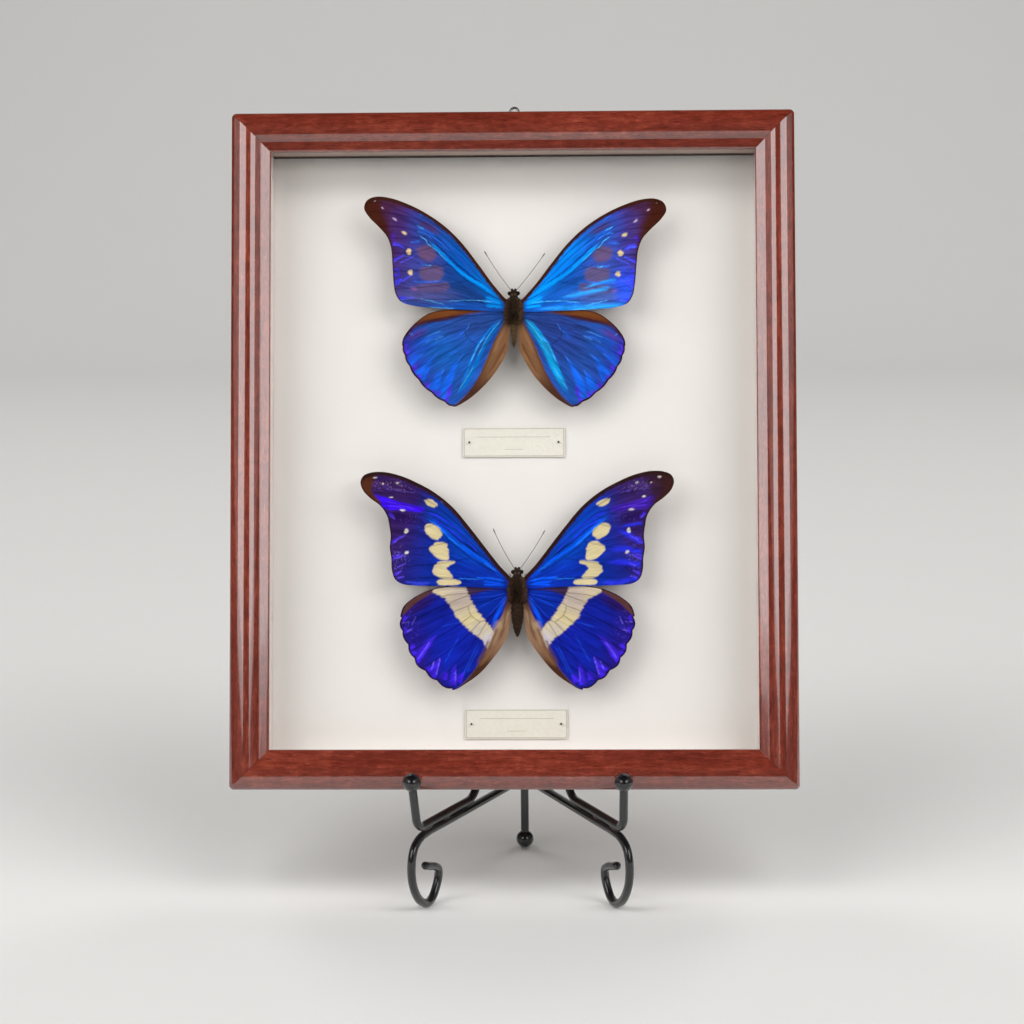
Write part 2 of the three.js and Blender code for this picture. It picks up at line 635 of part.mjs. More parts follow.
// ---------------------------------------------------------------- origin at the bottom centre

whole.updateMatrixWorld(true);
const box = new THREE.Box3().setFromObject(object, true);
object.position.set(-(box.min.x + box.max.x) / 2, -(box.min.y + box.max.y) / 2, -box.min.z);
whole.updateMatrixWorld(true);

export default whole;
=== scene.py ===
"""Two blue butterflies in a glazed mahogany display frame on a black wire easel: finish, light and view.

Sizes are in millimetres until a mesh is made. The frame's own plane has x across, y up the frame and
z out of the glass side, with the crest of the moulding at z = 0. An insect's own axes have their origin
at the thorax, with x outwards along the right wings and y towards the head.
"""

from __future__ import annotations

import logging
import math
from dataclasses import dataclass, field
from enum import IntEnum

import bpy
import numpy as np
from mathutils import Matrix, Vector

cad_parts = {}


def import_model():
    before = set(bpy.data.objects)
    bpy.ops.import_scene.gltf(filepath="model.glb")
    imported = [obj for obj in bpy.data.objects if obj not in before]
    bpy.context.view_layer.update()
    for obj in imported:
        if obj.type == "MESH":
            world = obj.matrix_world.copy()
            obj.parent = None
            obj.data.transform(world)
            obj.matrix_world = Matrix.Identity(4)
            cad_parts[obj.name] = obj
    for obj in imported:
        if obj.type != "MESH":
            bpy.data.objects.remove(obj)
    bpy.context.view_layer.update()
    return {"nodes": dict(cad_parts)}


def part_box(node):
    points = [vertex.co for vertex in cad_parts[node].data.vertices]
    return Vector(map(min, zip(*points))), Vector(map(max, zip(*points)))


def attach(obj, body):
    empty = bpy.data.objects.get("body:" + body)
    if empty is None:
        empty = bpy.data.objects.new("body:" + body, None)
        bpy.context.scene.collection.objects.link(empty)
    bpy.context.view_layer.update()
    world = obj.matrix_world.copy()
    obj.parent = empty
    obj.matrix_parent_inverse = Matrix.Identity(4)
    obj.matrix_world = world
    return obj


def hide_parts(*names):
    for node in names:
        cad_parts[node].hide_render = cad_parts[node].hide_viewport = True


Array = np.ndarray
Colour = tuple[float, float, float]
Triple = tuple[float, float, float]
Point = tuple[float, float]
Line = tuple[Point, ...]
Socket = bpy.types.NodeSocket
log = logging.getLogger("framed_butterflies")

MM = 0.001
LEAN = math.radians(15.1)
FRAME_WIDTH, FRAME_HEIGHT, FRAME_DEPTH = 250.0, 300.0, 40.0
LIP_BACK, REBATE = 6.0, 11.5
GLASS_CENTRE_DEPTH = 7.3
SMALL = 0.02
LATTICE = 256
LABEL_SIZE = (45.6, 13.2)
X_AXIS, Z_AXIS = np.array([1.0, 0.0, 0.0]), np.array([0.0, 0.0, 1.0])


class Side(IntEnum):
    """A side of the object as the viewer sees it; the value is the sign of its x."""

    LEFT = -1
    RIGHT = 1

    @property
    def word(self) -> str:
        """The side's name in a piece's name."""
        return self.name.lower()


# ---------------------------------------------------------------------------- numbers and curves


def linear(red: float, green: float, blue: float) -> Colour:
    """Gives the linear colour of a screen colour in 0 to 255.

    Args:
        red: the screen's red.
        green: the screen's green.
        blue: the screen's blue.

    Returns:
        The three linear shares, from 0 to 1.
    """
    screen = np.array([red, green, blue], float) / 255.0
    low, high = screen / 12.92, ((screen + 0.055) / 1.055) ** 2.4
    return tuple(float(c) for c in np.where(screen <= 0.04045, low, high))


def ease(value: Array, start: float, end: float) -> Array:
    """A smooth step: 0 before start, 1 after end, and 3t^2 - 2t^3 between them."""
    t = np.clip((value - start) / (end - start), 0.0, 1.0)
    return t * t * (3.0 - 2.0 * t)


def smooth_line(points: Array, per_span: int, closed: bool = False) -> Array:
    """Carries a centripetal Catmull-Rom curve through points.

    Each span is a cubic whose end slopes come from the neighbouring points, weighted by the square
    roots of the gaps between them.

    Args:
        points: the points, one row each, of any dimension.
        per_span: how many samples each span gets.
        closed: whether the curve returns to its first point.

    Returns:
        The samples in order, with the last point added where the curve is open.
    """
    given = np.asarray(points, float)
    if closed:
        before, start = np.roll(given, 1, 0), given
        end, after = np.roll(given, -1, 0), np.roll(given, -2, 0)
    else:
        row = np.vstack([2 * given[0] - given[1], given, 2 * given[-1] - given[-2]])
        before, start, end, after = row[:-3], row[1:-2], row[2:-1], row[3:]
    spans = ((before, start), (start, end), (end, after))
    d0, d1, d2 = (np.linalg.norm(b - a, axis=1)[:, None] ** 0.5 for a, b in spans)
    leaving = ((start - before) / d0 - (end - before) / (d0 + d1) + (end - start) / d1) * d1
    arriving = ((end - start) / d1 - (after - start) / (d1 + d2) + (after - end) / d2) * d1
    t = (np.arange(per_span) / per_span)[None, :, None]
    start, end, leaving, arriving = (a[:, None, :] for a in (start, end, leaving, arriving))
    samples = (
        (2 * t**3 - 3 * t**2 + 1) * start + (t**3 - 2 * t**2 + t) * leaving
        + (3 * t**2 - 2 * t**3) * end + (t**3 - t**2) * arriving
    ).reshape(-1, given.shape[1])
    return samples if closed else np.vstack([samples, given[-1]])


def bent_line(corners: Array, radii: list[float], turn_step: float = 0.09, closed: bool = False) -> Array:
    """Joins corners by straight runs whose inner corners are rounded by arcs.

    Args:
        corners: the corner points, one row each.
        radii: the arc's radius at each corner that is rounded.
        turn_step: the largest turn in one step, in radians.
        closed: whether the first and last corners are rounded and joined as well.

    Returns:
        The points of the line, the arcs' own points included.
    """
    given = np.asarray(corners, float)
    count = len(given)
    rounded = range(count) if closed else range(1, count - 1)
    parts = [] if closed else [given[:1]]
    for i, radius in zip(rounded, radii):
        into = given[i] - given[i - 1]
        out = given[(i + 1) % count] - given[i]
        into, out = into / np.linalg.norm(into), out / np.linalg.norm(out)
        turn = math.acos(float(np.clip(into @ out, -1, 1)))
        start = given[i] - into * radius * math.tan(turn / 2)
        side = out - into * math.cos(turn)
        side /= np.linalg.norm(side)
        angle = np.linspace(0, turn, max(3, math.ceil(turn / turn_step)))[:, None]
        parts.append(start + into * radius * np.sin(angle) + side * radius * (1 - np.cos(angle)))
    return np.vstack(parts if closed else [*parts, given[-1:]])


def along_line(line: Array) -> Array:
    """The length of a line up to each of its points."""
    return np.concatenate([[0.0], np.cumsum(np.linalg.norm(np.diff(line, axis=0), axis=1))])


def evenly(line: Array, count: int) -> Array:
    """Takes a number of evenly spaced points along a line.

    Args:
        line: the line's points, one row each.
        count: how many points to take.

    Returns:
        The points, both ends included.
    """
    length = along_line(line)
    wanted = np.linspace(0, length[-1], count)
    return np.stack([np.interp(wanted, length, line[:, k]) for k in range(line.shape[1])], axis=1)


def line_distance(x: Array, y: Array, line: Array) -> tuple[Array, Array]:
    """Measures from each point to a line in the plane.

    Args:
        x: the points' first coordinates, of any shape.
        y: the points' second coordinates.
        line: the line's points.

    Returns:
        The distance to the line, and the place of the nearest point along it from 0 to 1.
    """
    start, step = line[:-1], np.diff(line, axis=0)
    length = np.maximum(np.einsum("ij,ij->i", step, step), 1e-12)
    px, py = x[..., None] - start[:, 0], y[..., None] - start[:, 1]
    t = np.clip((px * step[:, 0] + py * step[:, 1]) / length, 0, 1)
    apart = (px - t * step[:, 0]) ** 2 + (py - t * step[:, 1]) ** 2
    nearest = apart.argmin(axis=-1)
    run = along_line(line)
    share = np.take_along_axis(t, nearest[..., None], -1)[..., 0]
    place = (run[nearest] + share * (run[nearest + 1] - run[nearest])) / run[-1]
    return np.sqrt(np.take_along_axis(apart, nearest[..., None], -1)[..., 0]), place


def lattice_noise(x: Array, y: Array, seed: int) -> Array:
    """Smooth noise from 0 to 1: random values on whole numbers, blended by a smooth step between them.

    Args:
        x: the points' first coordinates, of any shape.
        y: the points' second coordinates.
        seed: which random values are drawn.

    Returns:
        The noise at each point.
    """
    values = np.random.default_rng(seed).random((LATTICE, LATTICE))
    ix, iy = np.floor(x).astype(int), np.floor(y).astype(int)
    fx, fy = x - ix, y - iy
    fx, fy = fx * fx * (3 - 2 * fx), fy * fy * (3 - 2 * fy)
    low, high = (
        values[ix % LATTICE, row] * (1 - fx) + values[(ix + 1) % LATTICE, row] * fx
        for row in (iy % LATTICE, (iy + 1) % LATTICE)
    )
    return low * (1 - fy) + high * fy


def upright_line(x: float, y: float, heights: Array) -> Array:
    """Points above one another at the given heights."""
    return np.stack([np.full(len(heights), x), np.full(len(heights), y), heights], -1)


def unit(vectors: Array) -> Array:
    """Brings each row to a length of one."""
    return vectors / np.linalg.norm(vectors, axis=-1, keepdims=True)


def box_middle(node: str) -> Array:
    """The middle of a solid's box, in millimetres."""
    low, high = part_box(node)
    return (np.array(low) + np.array(high)) / 2 / MM


def direction(azimuth: float, elevation: float) -> Vector:
    """The way from the object to a place seen at two angles in degrees; azimuth 0 is the front."""
    around, up = math.radians(azimuth), math.radians(elevation)
    return Vector((math.sin(around) * math.cos(up), -math.cos(around) * math.cos(up), math.sin(up)))


# ---------------------------------------------------------------------------- places


@dataclass(frozen=True)
class FramePlane:
    """Where the picture frame's own plane lies."""

    origin: Array
    lean: float = LEAN

    @classmethod
    def from_pane(cls) -> FramePlane:
        """Finds the plane from the middle of the glass pane."""
        pane = cls(np.zeros(3)).world(np.array([0.0, FRAME_HEIGHT / 2, -GLASS_CENTRE_DEPTH]))
        return cls(box_middle("glass_pane") - pane)

    def world(self, points: Array) -> Array:
        """Turns points of the frame's own plane into the object's axes.

        Args:
            points: places as x, y and z, in millimetres.

        Returns:
            The same places in the object's axes, in millimetres.
        """
        sin, cos = math.sin(self.lean), math.cos(self.lean)
        x, y, z = points[..., 0], points[..., 1], points[..., 2]
        return np.stack([x, sin * y - cos * z, cos * y + sin * z], axis=-1) + self.origin


# ---------------------------------------------------------------------------- meshes


def quads(index: Array) -> Array:
    """The four-cornered faces between the neighbouring rows and columns of a grid of point numbers."""
    corners = [index[:-1, :-1], index[1:, :-1], index[1:, 1:], index[:-1, 1:]]
    return np.stack(corners, axis=-1).reshape(-1, 4)


@dataclass
class Shell:
    """Gathers grids of points, in millimetres, into one mesh."""

    name: str
    points: list[Array] = field(default_factory=list)
    faces: list[list[int]] = field(default_factory=list)
    maps: list[Array] = field(default_factory=list)
    colours: list[Array] = field(default_factory=list)
    count: int = 0

    def grid(
        self, points: Array, places: Array | None = None, colours: Array | None = None,
        ring: bool = False, loop: bool = False, capped: bool = False, flip: bool = False,
    ) -> Shell:
        """Adds a grid of points as a surface.

        Args:
            points: rows by columns by three.
            places: the map's two coordinates at each point.
            colours: red, green, blue and shimmer at each point.
            ring: whether the last column joins the first.
            loop: whether the last row joins the first.
            capped: whether the first and last rows are closed by a flat face each.
            flip: whether the faces look the other way.

        Returns:
            This shell, so that calls can be chained.
        """
        rows, columns = points.shape[:2]
        index = np.arange(rows * columns).reshape(rows, columns) + self.count
        if ring:
            index = np.hstack([index, index[:, :1]])
        if loop:
            index = np.vstack([index, index[:1]])
        faces = quads(index)
        self.faces.extend((faces[:, ::-1] if flip else faces).tolist())
        if capped:
            first, last = index[0, :columns].tolist(), index[-1, :columns].tolist()
            self.faces.extend([first[::-1], last] if flip else [first, last[::-1]])
        self._keep(points, places, colours)
        return self

    def tube(self, points: Array, colours: Array | None = None) -> Shell:
        """Adds a rod's grid, closed by a flat face at each end."""
        return self.grid(points, None, colours, ring=True, capped=True)

    def lump(self, points: Array, colours: Array | None = None) -> Shell:
        """Adds an ellipsoid's grid, closed at both poles."""
        return self.grid(points, None, colours, ring=True, capped=True, flip=True)

    def loose(self, points: Array, faces: Array, colours: Array) -> None:
        """Adds points with faces of their own."""
        self.faces.extend((faces + self.count).tolist())
        self._keep(points, None, colours)

    def _keep(self, points: Array, places: Array | None, colours: Array | None) -> None:
        """Stores points with their map places and colours.

        Args:
            points: the points, one row each.
            places: their map places, if the piece has a map.
            colours: their tints, if the piece is painted.
        """
        flat = points.reshape(-1, 3)
        self.points.append(flat)
        self.maps.append(np.zeros((len(flat), 2)) if places is None else places.reshape(-1, 2))
        self.colours.append(np.ones((len(flat), 4)) if colours is None else colours.reshape(-1, 4))
        self.count += len(flat)

    def build(
        self, material: bpy.types.Material, slot: str, node: str, crease: float = 40.0,
    ) -> None:
        """Makes the object, gives it its finish and lets it ride on the root body.

        Args:
            material: the finish.
            slot: the material slot that the finish stands for; not used.
            node: the solid that this piece stands for.
            crease: the angle in degrees past which an edge stays sharp.
        """
        mesh = bpy.data.meshes.new(self.name)
        mesh.from_pydata((np.vstack(self.points) * MM).tolist(), [], self.faces)
        corner = np.zeros(len(mesh.loops), np.int32)
        mesh.loops.foreach_get("vertex_index", corner)
        chart = mesh.uv_layers.new(name="surface")
        chart.data.foreach_set("uv", np.vstack(self.maps)[corner].astype(np.float32).ravel())
        tint = mesh.color_attributes.new("tint", "FLOAT_COLOR", "POINT")
        tint.data.foreach_set("color", np.vstack(self.colours).astype(np.float32).ravel())
        mesh.polygons.foreach_set("use_smooth", np.ones(len(mesh.polygons), bool))
        mesh.set_sharp_from_angle(angle=math.radians(crease))
        mesh.materials.append(material)
        mesh.update()
        piece = bpy.data.objects.new(self.name, mesh)
        bpy.context.scene.collection.objects.link(piece)
        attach(piece, "root")
        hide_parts(node)
        log.info("%s: %d points, %d faces", self.name, len(mesh.vertices), len(mesh.polygons))


def rim(upper: Array, lower: Array) -> Array:
    """Two rows that follow the border of two grids, to close the edge between them.

    Args:
        upper: the grid on one face.
        lower: the grid on the other face, of the same shape.

    Returns:
        The two rows, the second along the lower grid.
    """
    return np.stack([
        np.concatenate([grid[:-1, 0], grid[-1, :-1], grid[:0:-1, -1], grid[0, :0:-1]])
        for grid in (upper, lower)
    ])


def swept(line: Array, radius: Array | float, upright: Array, sides: int = 20, closed: bool = False) -> Array:
    """Carries a circle along a line.

    At each point the circle lies across the line's direction; its first axis is square to both that
    direction and a fixed direction that the line never follows.

    Args:
        line: the centre line's points.
        radius: the circle's radius, one for all or one for each point.
        upright: the fixed direction.
        sides: the number of points on the circle.
        closed: whether the line returns to its first point.

    Returns:
        A grid with a row for each point of the line.
    """
    if closed:
        along = np.roll(line, -1, 0) - np.roll(line, 1, 0)
    else:
        along = np.gradient(line, axis=0)
    along = unit(along)
    first = unit(np.cross(along, upright))
    second = np.cross(along, first)
    angle = np.linspace(0, 2 * np.pi, sides, endpoint=False)[None, :, None]
    size = np.broadcast_to(np.asarray(radius, float), (len(line),))[:, None, None]
    return line[:, None, :] + size * (np.cos(angle) * first[:, None] + np.sin(angle) * second[:, None])


def round_ended(line: Array, radius: float) -> tuple[Array, Array]:
    """Gives a rod's line two domed ends.

    The ends' points crowd towards the tips while the radius follows a quarter circle.

    Args:
        line: the rod's centre line.
        radius: the rod's radius.

    Returns:
        The longer line and the radius at each of its points.
    """
    angle = np.linspace(0.06, np.pi / 2, 7)[:-1]
    dome, reach = np.sin(angle), 1 - np.cos(angle)
    first = line[0] + unit(line[1] - line[0]) * (reach[:, None] * radius)
    last = line[-1] + unit(line[-2] - line[-1]) * (reach[::-1, None] * radius)
    inner = evenly(line, len(line))
    room = along_line(inner)
    kept = inner[(room > radius) & (room < room[-1] - radius)]
    sizes = np.concatenate([dome * radius, np.full(len(kept), radius), dome[::-1] * radius])
    return np.vstack([first, kept, last]), sizes


def ball(centre: Array, radii: Triple, sides: int = 32, turned: Array | None = None) -> Array:
    """A grid over an ellipsoid, from pole to pole along y.

    Args:
        centre: the middle.
        radii: the half sizes along x, y and z.
        sides: the number of points round it.
        turned: a rotation that is applied before it is put in place.

    Returns:
        A grid with a row for each circle of latitude, ring-shaped along its columns.
    """
    latitude = np.linspace(SMALL, np.pi - SMALL, sides // 2 + 1)[:, None]
    longitude = np.linspace(0, 2 * np.pi, sides, endpoint=False)[None, :]
    sphere = np.stack([
        np.sin(latitude) * np.cos(longitude),
        np.cos(latitude) * np.ones_like(longitude),
        np.sin(latitude) * np.sin(longitude),
    ], axis=-1) * np.array(radii)
    return (sphere if turned is None else sphere @ turned.T) + centre


# ---------------------------------------------------------------------------- finishes


class NodeTree:
    """A short way to write a material's nodes."""

    def __init__(self, name: str) -> None:
        """Starts a material with a Principled shader.

        Args:
            name: the material's name.
        """
        self.material = bpy.data.materials.new(name)
        self.material.use_nodes = True
        self.tree = self.material.node_tree
        self.shader = self.tree.nodes["Principled BSDF"]

    def node(self, kind: str, **values: object) -> bpy.types.Node:
        """Adds a node and sets its properties, or its sockets where a name starts with in_.

        Args:
            kind: the node's type name without the word ShaderNode.
            values: properties by name; in_Some_Socket sets or links an input.

        Returns:
            The node.
        """
        made = self.tree.nodes.new(f"ShaderNode{kind}")
        for name, value in values.items():
            if name.startswith("in_"):
                self.feed(made, name[3:].replace("_", " "), value)
            else:
                setattr(made, name, value)
        return made

    def feed(self, node: bpy.types.Node, socket: str | int, value: object) -> None:
        """Links an output to a socket, or sets the socket's value.

        Args:
            node: the node that is fed.
            socket: the input's name or number.
            value: an output of another node, or a plain value.
        """
        target = node.inputs[int(socket)] if str(socket).isdigit() else node.inputs[socket]
        if isinstance(value, Socket):
            self.tree.links.new(value, target)
        elif isinstance(value, tuple) and len(value) == 3 and len(target.default_value) == 4:
            target.default_value = (*value, 1.0)
        else:
            target.default_value = value

    def surface(self, **values: object) -> None:
        """Sets or links the shader's sockets, named with underscores for spaces."""
        for name, value in values.items():
            self.feed(self.shader, name.replace("_", " "), value)

    def math(self, operation: str, first: object, second: object = 0.0) -> Socket:
        """Adds a Math node and gives its result.

        Args:
            operation: the node's operation.
            first: the first value.
            second: the second value, where the operation has one.

        Returns:
            The result's socket.
        """
        made = self.node("Math", operation=operation)
        self.feed(made, 0, first)
        self.feed(made, 1, second)
        return made.outputs[0]

    def weighted(self, *terms: tuple[Socket, float]) -> Socket:
        """Adds up values, each times its own weight.

        Args:
            terms: each value with its weight.

        Returns:
            The sum's socket.
        """
        total, *rest = (self.math("MULTIPLY", value, weight) for value, weight in terms)
        for term in rest:
            total = self.math("ADD", total, term)
        return total

    def mix(self, share: object, first: object, second: object, blend: str = "MIX") -> Socket:
        """Mixes two colours and gives the result.

        Args:
            share: how much of the second colour there is.
            first: the first colour.
            second: the second colour.
            blend: how the two are blended.

        Returns:
            The mixed colour's socket.
        """
        made = self.node("Mix", data_type="RGBA", blend_type=blend)
        for socket, value in ((0, share), (6, first), (7, second)):
            self.feed(made, socket, value)
        return made.outputs[2]

    def times(self, first: object, second: object) -> Socket:
        """Multiplies two colours."""
        return self.mix(1.0, first, second, "MULTIPLY")

    def ramp(self, value: object, stops: list[tuple[float, Colour]]) -> Socket:
        """Turns a value into a colour along a ramp with the given stops.

        Args:
            value: the value along the ramp, from 0 to 1.
            stops: each stop's place and colour.

        Returns:
            The colour's socket.
        """
        made = self.node("ValToRGB")
        self.feed(made, 0, value)
        elements = made.color_ramp.elements
        while len(elements) < len(stops):
            elements.new(0.5)
        for element, (place, colour) in zip(elements, stops):
            element.position, element.color = place, (*colour, 1.0)
        return made.outputs[0]

    def coordinates(self) -> Socket:
        """Gives the object's own coordinates."""
        return self.node("TexCoord").outputs["Object"]

    def chart(self) -> Socket:
        """Gives the coordinates of the object's map."""
        return self.node("UVMap", uv_map="surface").outputs[0]

    def tint(self) -> bpy.types.Node:
        """Gives the node that reads the painted tint."""
        return self.node("Attribute", attribute_name="tint")

    def stretched(self, source: Socket, scale: Triple) -> Socket:
        """Stretches coordinates by a scale along each axis."""
        return self.node("Mapping", in_Vector=source, in_Scale=scale).outputs[0]

    def noise(
        self, vector: Socket, scale: float, detail: float = 4, rough: float = 0.55, twist: float = 0.0,
    ) -> Socket:
        """Adds a noise texture and gives its value.

        Args:
            vector: the place that is looked up.
            scale: how many cells there are to one unit of the place.
            detail: how many finer layers are added.
            rough: how strong the finer layers are.
            twist: how far the pattern is pulled about.

        Returns:
            The value's socket, from 0 to 1.
        """
        return self.node(
            "TexNoise", in_Vector=vector, in_Scale=scale, in_Detail=detail, in_Roughness=rough,
            in_Distortion=twist,
        ).outputs[0]

    def bump(self, height: Socket, strength: float, distance: float) -> Socket:
        """Adds a bump of a height in metres and gives the normal."""
        return self.node("Bump", in_Strength=strength, in_Distance=distance, in_Height=height).outputs[0]

    def paper(self, colour: Socket) -> None:
        """Gives the shader the dry surface of paper with a fine tooth."""
        tooth = self.bump(self.noise(self.coordinates(), 2600.0, 4, 0.7), 0.5, 0.00004)
        self.surface(Base_Color=colour, Roughness=0.92, Specular_IOR_Level=0.2, Normal=tooth)


@dataclass(frozen=True)
class Mahogany:
    """Red-brown wood with a short flecked grain under a thick gloss lacquer."""

    dark: Colour = linear(96, 34, 22)
    middle: Colour = linear(117, 46, 32)
    light: Colour = linear(141, 64, 46)
    coat_roughness: float = 0.07

    def material(self) -> bpy.types.Material:
        """Grain runs along the map's first axis; pores are short dark dashes, flecks short light ones.

        Returns:
            The finished material.
        """
        n = NodeTree("mahogany")
        chart = n.chart()
        ribbon, figure, curl, blotch, pores, flecks, ripple = (
            n.noise(n.stretched(chart, (*scale, 1)), 1.0, *values)
            for scale, values in (
                ((8, 70), (3, 0.5, 0.6)), ((90, 560), (4, 0.65, 0.4)), ((150, 110), (2, 0.5, 0.8)),
                ((16, 34), (2, 0.5)), ((210, 2600), (1, 0.4)), ((330, 1100), (2, 0.6)), ((60, 160), (2,)),
            )
        )
        mixed = n.weighted((ribbon, 0.3), (figure, 0.5), (curl, 0.2))
        wood = n.ramp(mixed, [(0.38, self.dark), (0.5, self.middle), (0.62, self.light)])
        shade = n.ramp(blotch, [(0.3, linear(222, 215, 214)), (0.7, linear(255, 255, 255))])
        speck = n.ramp(pores, [(0.3, linear(178, 164, 160)), (0.38, linear(255, 255, 255))])
        bright = n.ramp(flecks, [(0.56, (1.0, 1.0, 1.0)), (0.7, (1.5, 1.65, 1.7))])
        stained = n.times(n.times(n.times(wood, shade), speck), bright)
        n.surface(
            Base_Color=stained, Roughness=0.42, Specular_IOR_Level=0.25,
            Normal=n.bump(n.math("ADD", figure, pores), 0.25, 0.00006), Coat_Weight=1.0,
            Coat_Roughness=self.coat_roughness, Coat_IOR=1.9, Coat_Normal=n.bump(ripple, 0.07, 0.0002),
        )
        return n.material


@dataclass(frozen=True)
class Glass:
    """A clear pane."""

    tint: Colour = linear(236, 242, 240)

    def material(self) -> bpy.types.Material:
        """A nearly clear sheet that mirrors a small share of the light.

        Returns:
            The finished material.
        """
        n = NodeTree("clear_glass")
        n.surface(Base_Color=self.tint, Metallic=1.0, Roughness=0.01, Alpha=0.035)
        return n.material


@dataclass(frozen=True)
class Paper:
    """Matte paper or card with a fine tooth."""

    name: str
    colour: Colour
    drift: float = 0.05

    def material(self) -> bpy.types.Material:
        """A little drift in the colour, and a tooth of two sizes.

        Returns:
            The finished material.
        """
        n = NodeTree(self.name)
        place = n.coordinates()
        cloud = n.noise(n.stretched(place, (1, 1, 0.25)), 42.0, 3)
        fibre = n.noise(n.stretched(place, (6, 1, 0.4)), 500.0, 3)
        darker = tuple(c * (1 - 3 * self.drift) for c in self.colour)
        shade = n.weighted((cloud, 0.6), (fibre, 0.4))
        n.paper(n.ramp(shade, [(0.3, darker), (0.62, self.colour)]))
        return n.material


@dataclass(frozen=True)
class ShadedLining:
    """A paper strip with painted shade: light along its front edge and painted darker towards the board,
    where it lies in shadow.
    """

    plane: FramePlane
    # front is the colour of the lit front edge; back is the painted shadow towards the board.
    front: Colour = linear(176, 158, 148)
    back: Colour = linear(66, 56, 51)
    depths: tuple[float, float] = (-22.0, -8.5)

    def material(self) -> bpy.types.Material:
        """The painted shade follows the depth behind the crest, found by turning the coordinates to the
        frame.

        Returns:
            The finished material.
        """
        n = NodeTree("painted_shade_lining")
        origin = self.plane.world(np.zeros(3))
        outward = self.plane.world(Z_AXIS) - origin
        _, y, z = n.node("SeparateXYZ", in_Vector=n.coordinates()).outputs
        depth = n.weighted((y, float(outward[1])), (z, float(outward[2])))
        depth = n.math("SUBTRACT", n.math("DIVIDE", depth, MM), float(origin @ outward))
        low, high = self.depths
        share = n.math("DIVIDE", n.math("SUBTRACT", depth, low), high - low)
        share = n.math("ADD", share, n.weighted((n.noise(n.coordinates(), 500.0, 3), 0.1)))
        n.paper(n.ramp(share, [(0.33, self.back), (0.5, self.front)]))
        return n.material


@dataclass(frozen=True)
class Hardboard:
    """Raw pressed fibre, darker specks on brown."""

    def material(self) -> bpy.types.Material:
        """Two sizes of fibre over a slow drift.

        Returns:
            The finished material.
        """
        n = NodeTree("hardboard")
        place = n.coordinates()
        fibre = n.noise(n.stretched(place, (1, 1, 2.2)), 900.0, 6, 0.75, 0.8)
        drift = n.noise(place, 30.0, 3)
        stops = [(0.32, linear(82, 54, 34)), (0.5, linear(126, 88, 58)), (0.66, linear(158, 118, 82))]
        brown = n.ramp(n.weighted((fibre, 0.7), (drift, 0.3)), stops)
        n.surface(Base_Color=brown, Roughness=0.8, Normal=n.bump(fibre, 0.6, 0.00012))
        return n.material


@dataclass(frozen=True)
class Metal:
    """Plain bright steel or a blackened pin."""

    name: str
    colour: Colour
    roughness: float

    def material(self) -> bpy.types.Material:
        """Fine scratches change the roughness and the normal a little.

        Returns:
            The finished material.
        """
        n = NodeTree(self.name)
        scratch = n.noise(n.stretched(n.coordinates(), (1, 1, 0.1)), 3000.0, 3, 0.6)
        worn = n.math("ADD", n.weighted((scratch, 0.18)), self.roughness - 0.09)
        shade = n.ramp(scratch, [(0.3, tuple(c * 0.8 for c in self.colour)), (0.7, self.colour)])
        n.surface(Base_Color=shade, Roughness=worn, Metallic=1.0, Normal=n.bump(scratch, 0.15, 0.00002))
        return n.material


@dataclass(frozen=True)
class BlackEnamel:
    """Gloss black enamel on wire, with a faint ripple."""

    def material(self) -> bpy.types.Material:
        """A black body under a clear coat whose surface ripples slightly.

        Returns:
            The finished material.
        """
        n = NodeTree("black_enamel")
        place = n.coordinates()
        ripple = n.bump(n.noise(place, 260.0, 2), 0.3, 0.00012)
        dust = n.noise(place, 2400.0, 3, 0.7)
        n.surface(
            Base_Color=n.ramp(dust, [(0.4, linear(9, 9, 10)), (0.75, linear(24, 24, 26))]), Roughness=0.3,
            Coat_Weight=1.0, Coat_Roughness=0.05, Specular_IOR_Level=0.35, Normal=ripple, Coat_Normal=ripple,
        )
        return n.material


@dataclass(frozen=True)
class WingScales:
    """Wing scales: the painted tint, with a satin shimmer where the scales are blue."""

    name: str

    def material(self) -> bpy.types.Material:
        """The tint's fourth channel says how strongly a place shimmers.

        Returns:
            The finished material.
        """
        n = NodeTree(self.name)
        tint = n.tint()
        shimmer = tint.outputs["Alpha"]
        chart = n.chart()
        hatch = n.noise(n.stretched(chart, (90, 1500, 1)), 1.0, 3, 0.6)
        grain = n.noise(n.coordinates(), 5200.0, 2, 0.6)
        vary = n.ramp(hatch, [(0.25, (0.72, 0.72, 0.76)), (0.75, (1.0, 1.0, 1.0))])
        n.surface(
            Base_Color=n.times(tint.outputs["Color"], vary), Metallic=n.weighted((shimmer, 0.3)),
            Roughness=n.math("SUBTRACT", 0.8, n.weighted((shimmer, 0.36))), Specular_IOR_Level=0.12,
            Normal=n.bump(n.weighted((hatch, 0.7), (grain, 0.3)), 0.5, 0.00005),
        )
        return n.material


@dataclass(frozen=True)
class Fur:
    """Short fur and horn: the painted tint, dry and mottled."""

    def material(self) -> bpy.types.Material:
        """A fine mottle over the tint.

        Returns:
            The finished material.
        """
        n = NodeTree("insect_fur")
        place = n.coordinates()
        mottle = n.ramp(n.noise(place, 1300.0, 4, 0.7), [(0.36, (0.3, 0.3, 0.3)), (0.66, (1.0, 0.95, 0.9))])
        n.surface(Base_Color=n.times(n.tint().outputs["Color"], mottle), Roughness=0.7,
                  Specular_IOR_Level=0.15, Normal=n.bump(n.noise(place, 2600.0, 3), 0.6, 0.00008))
        return n.material


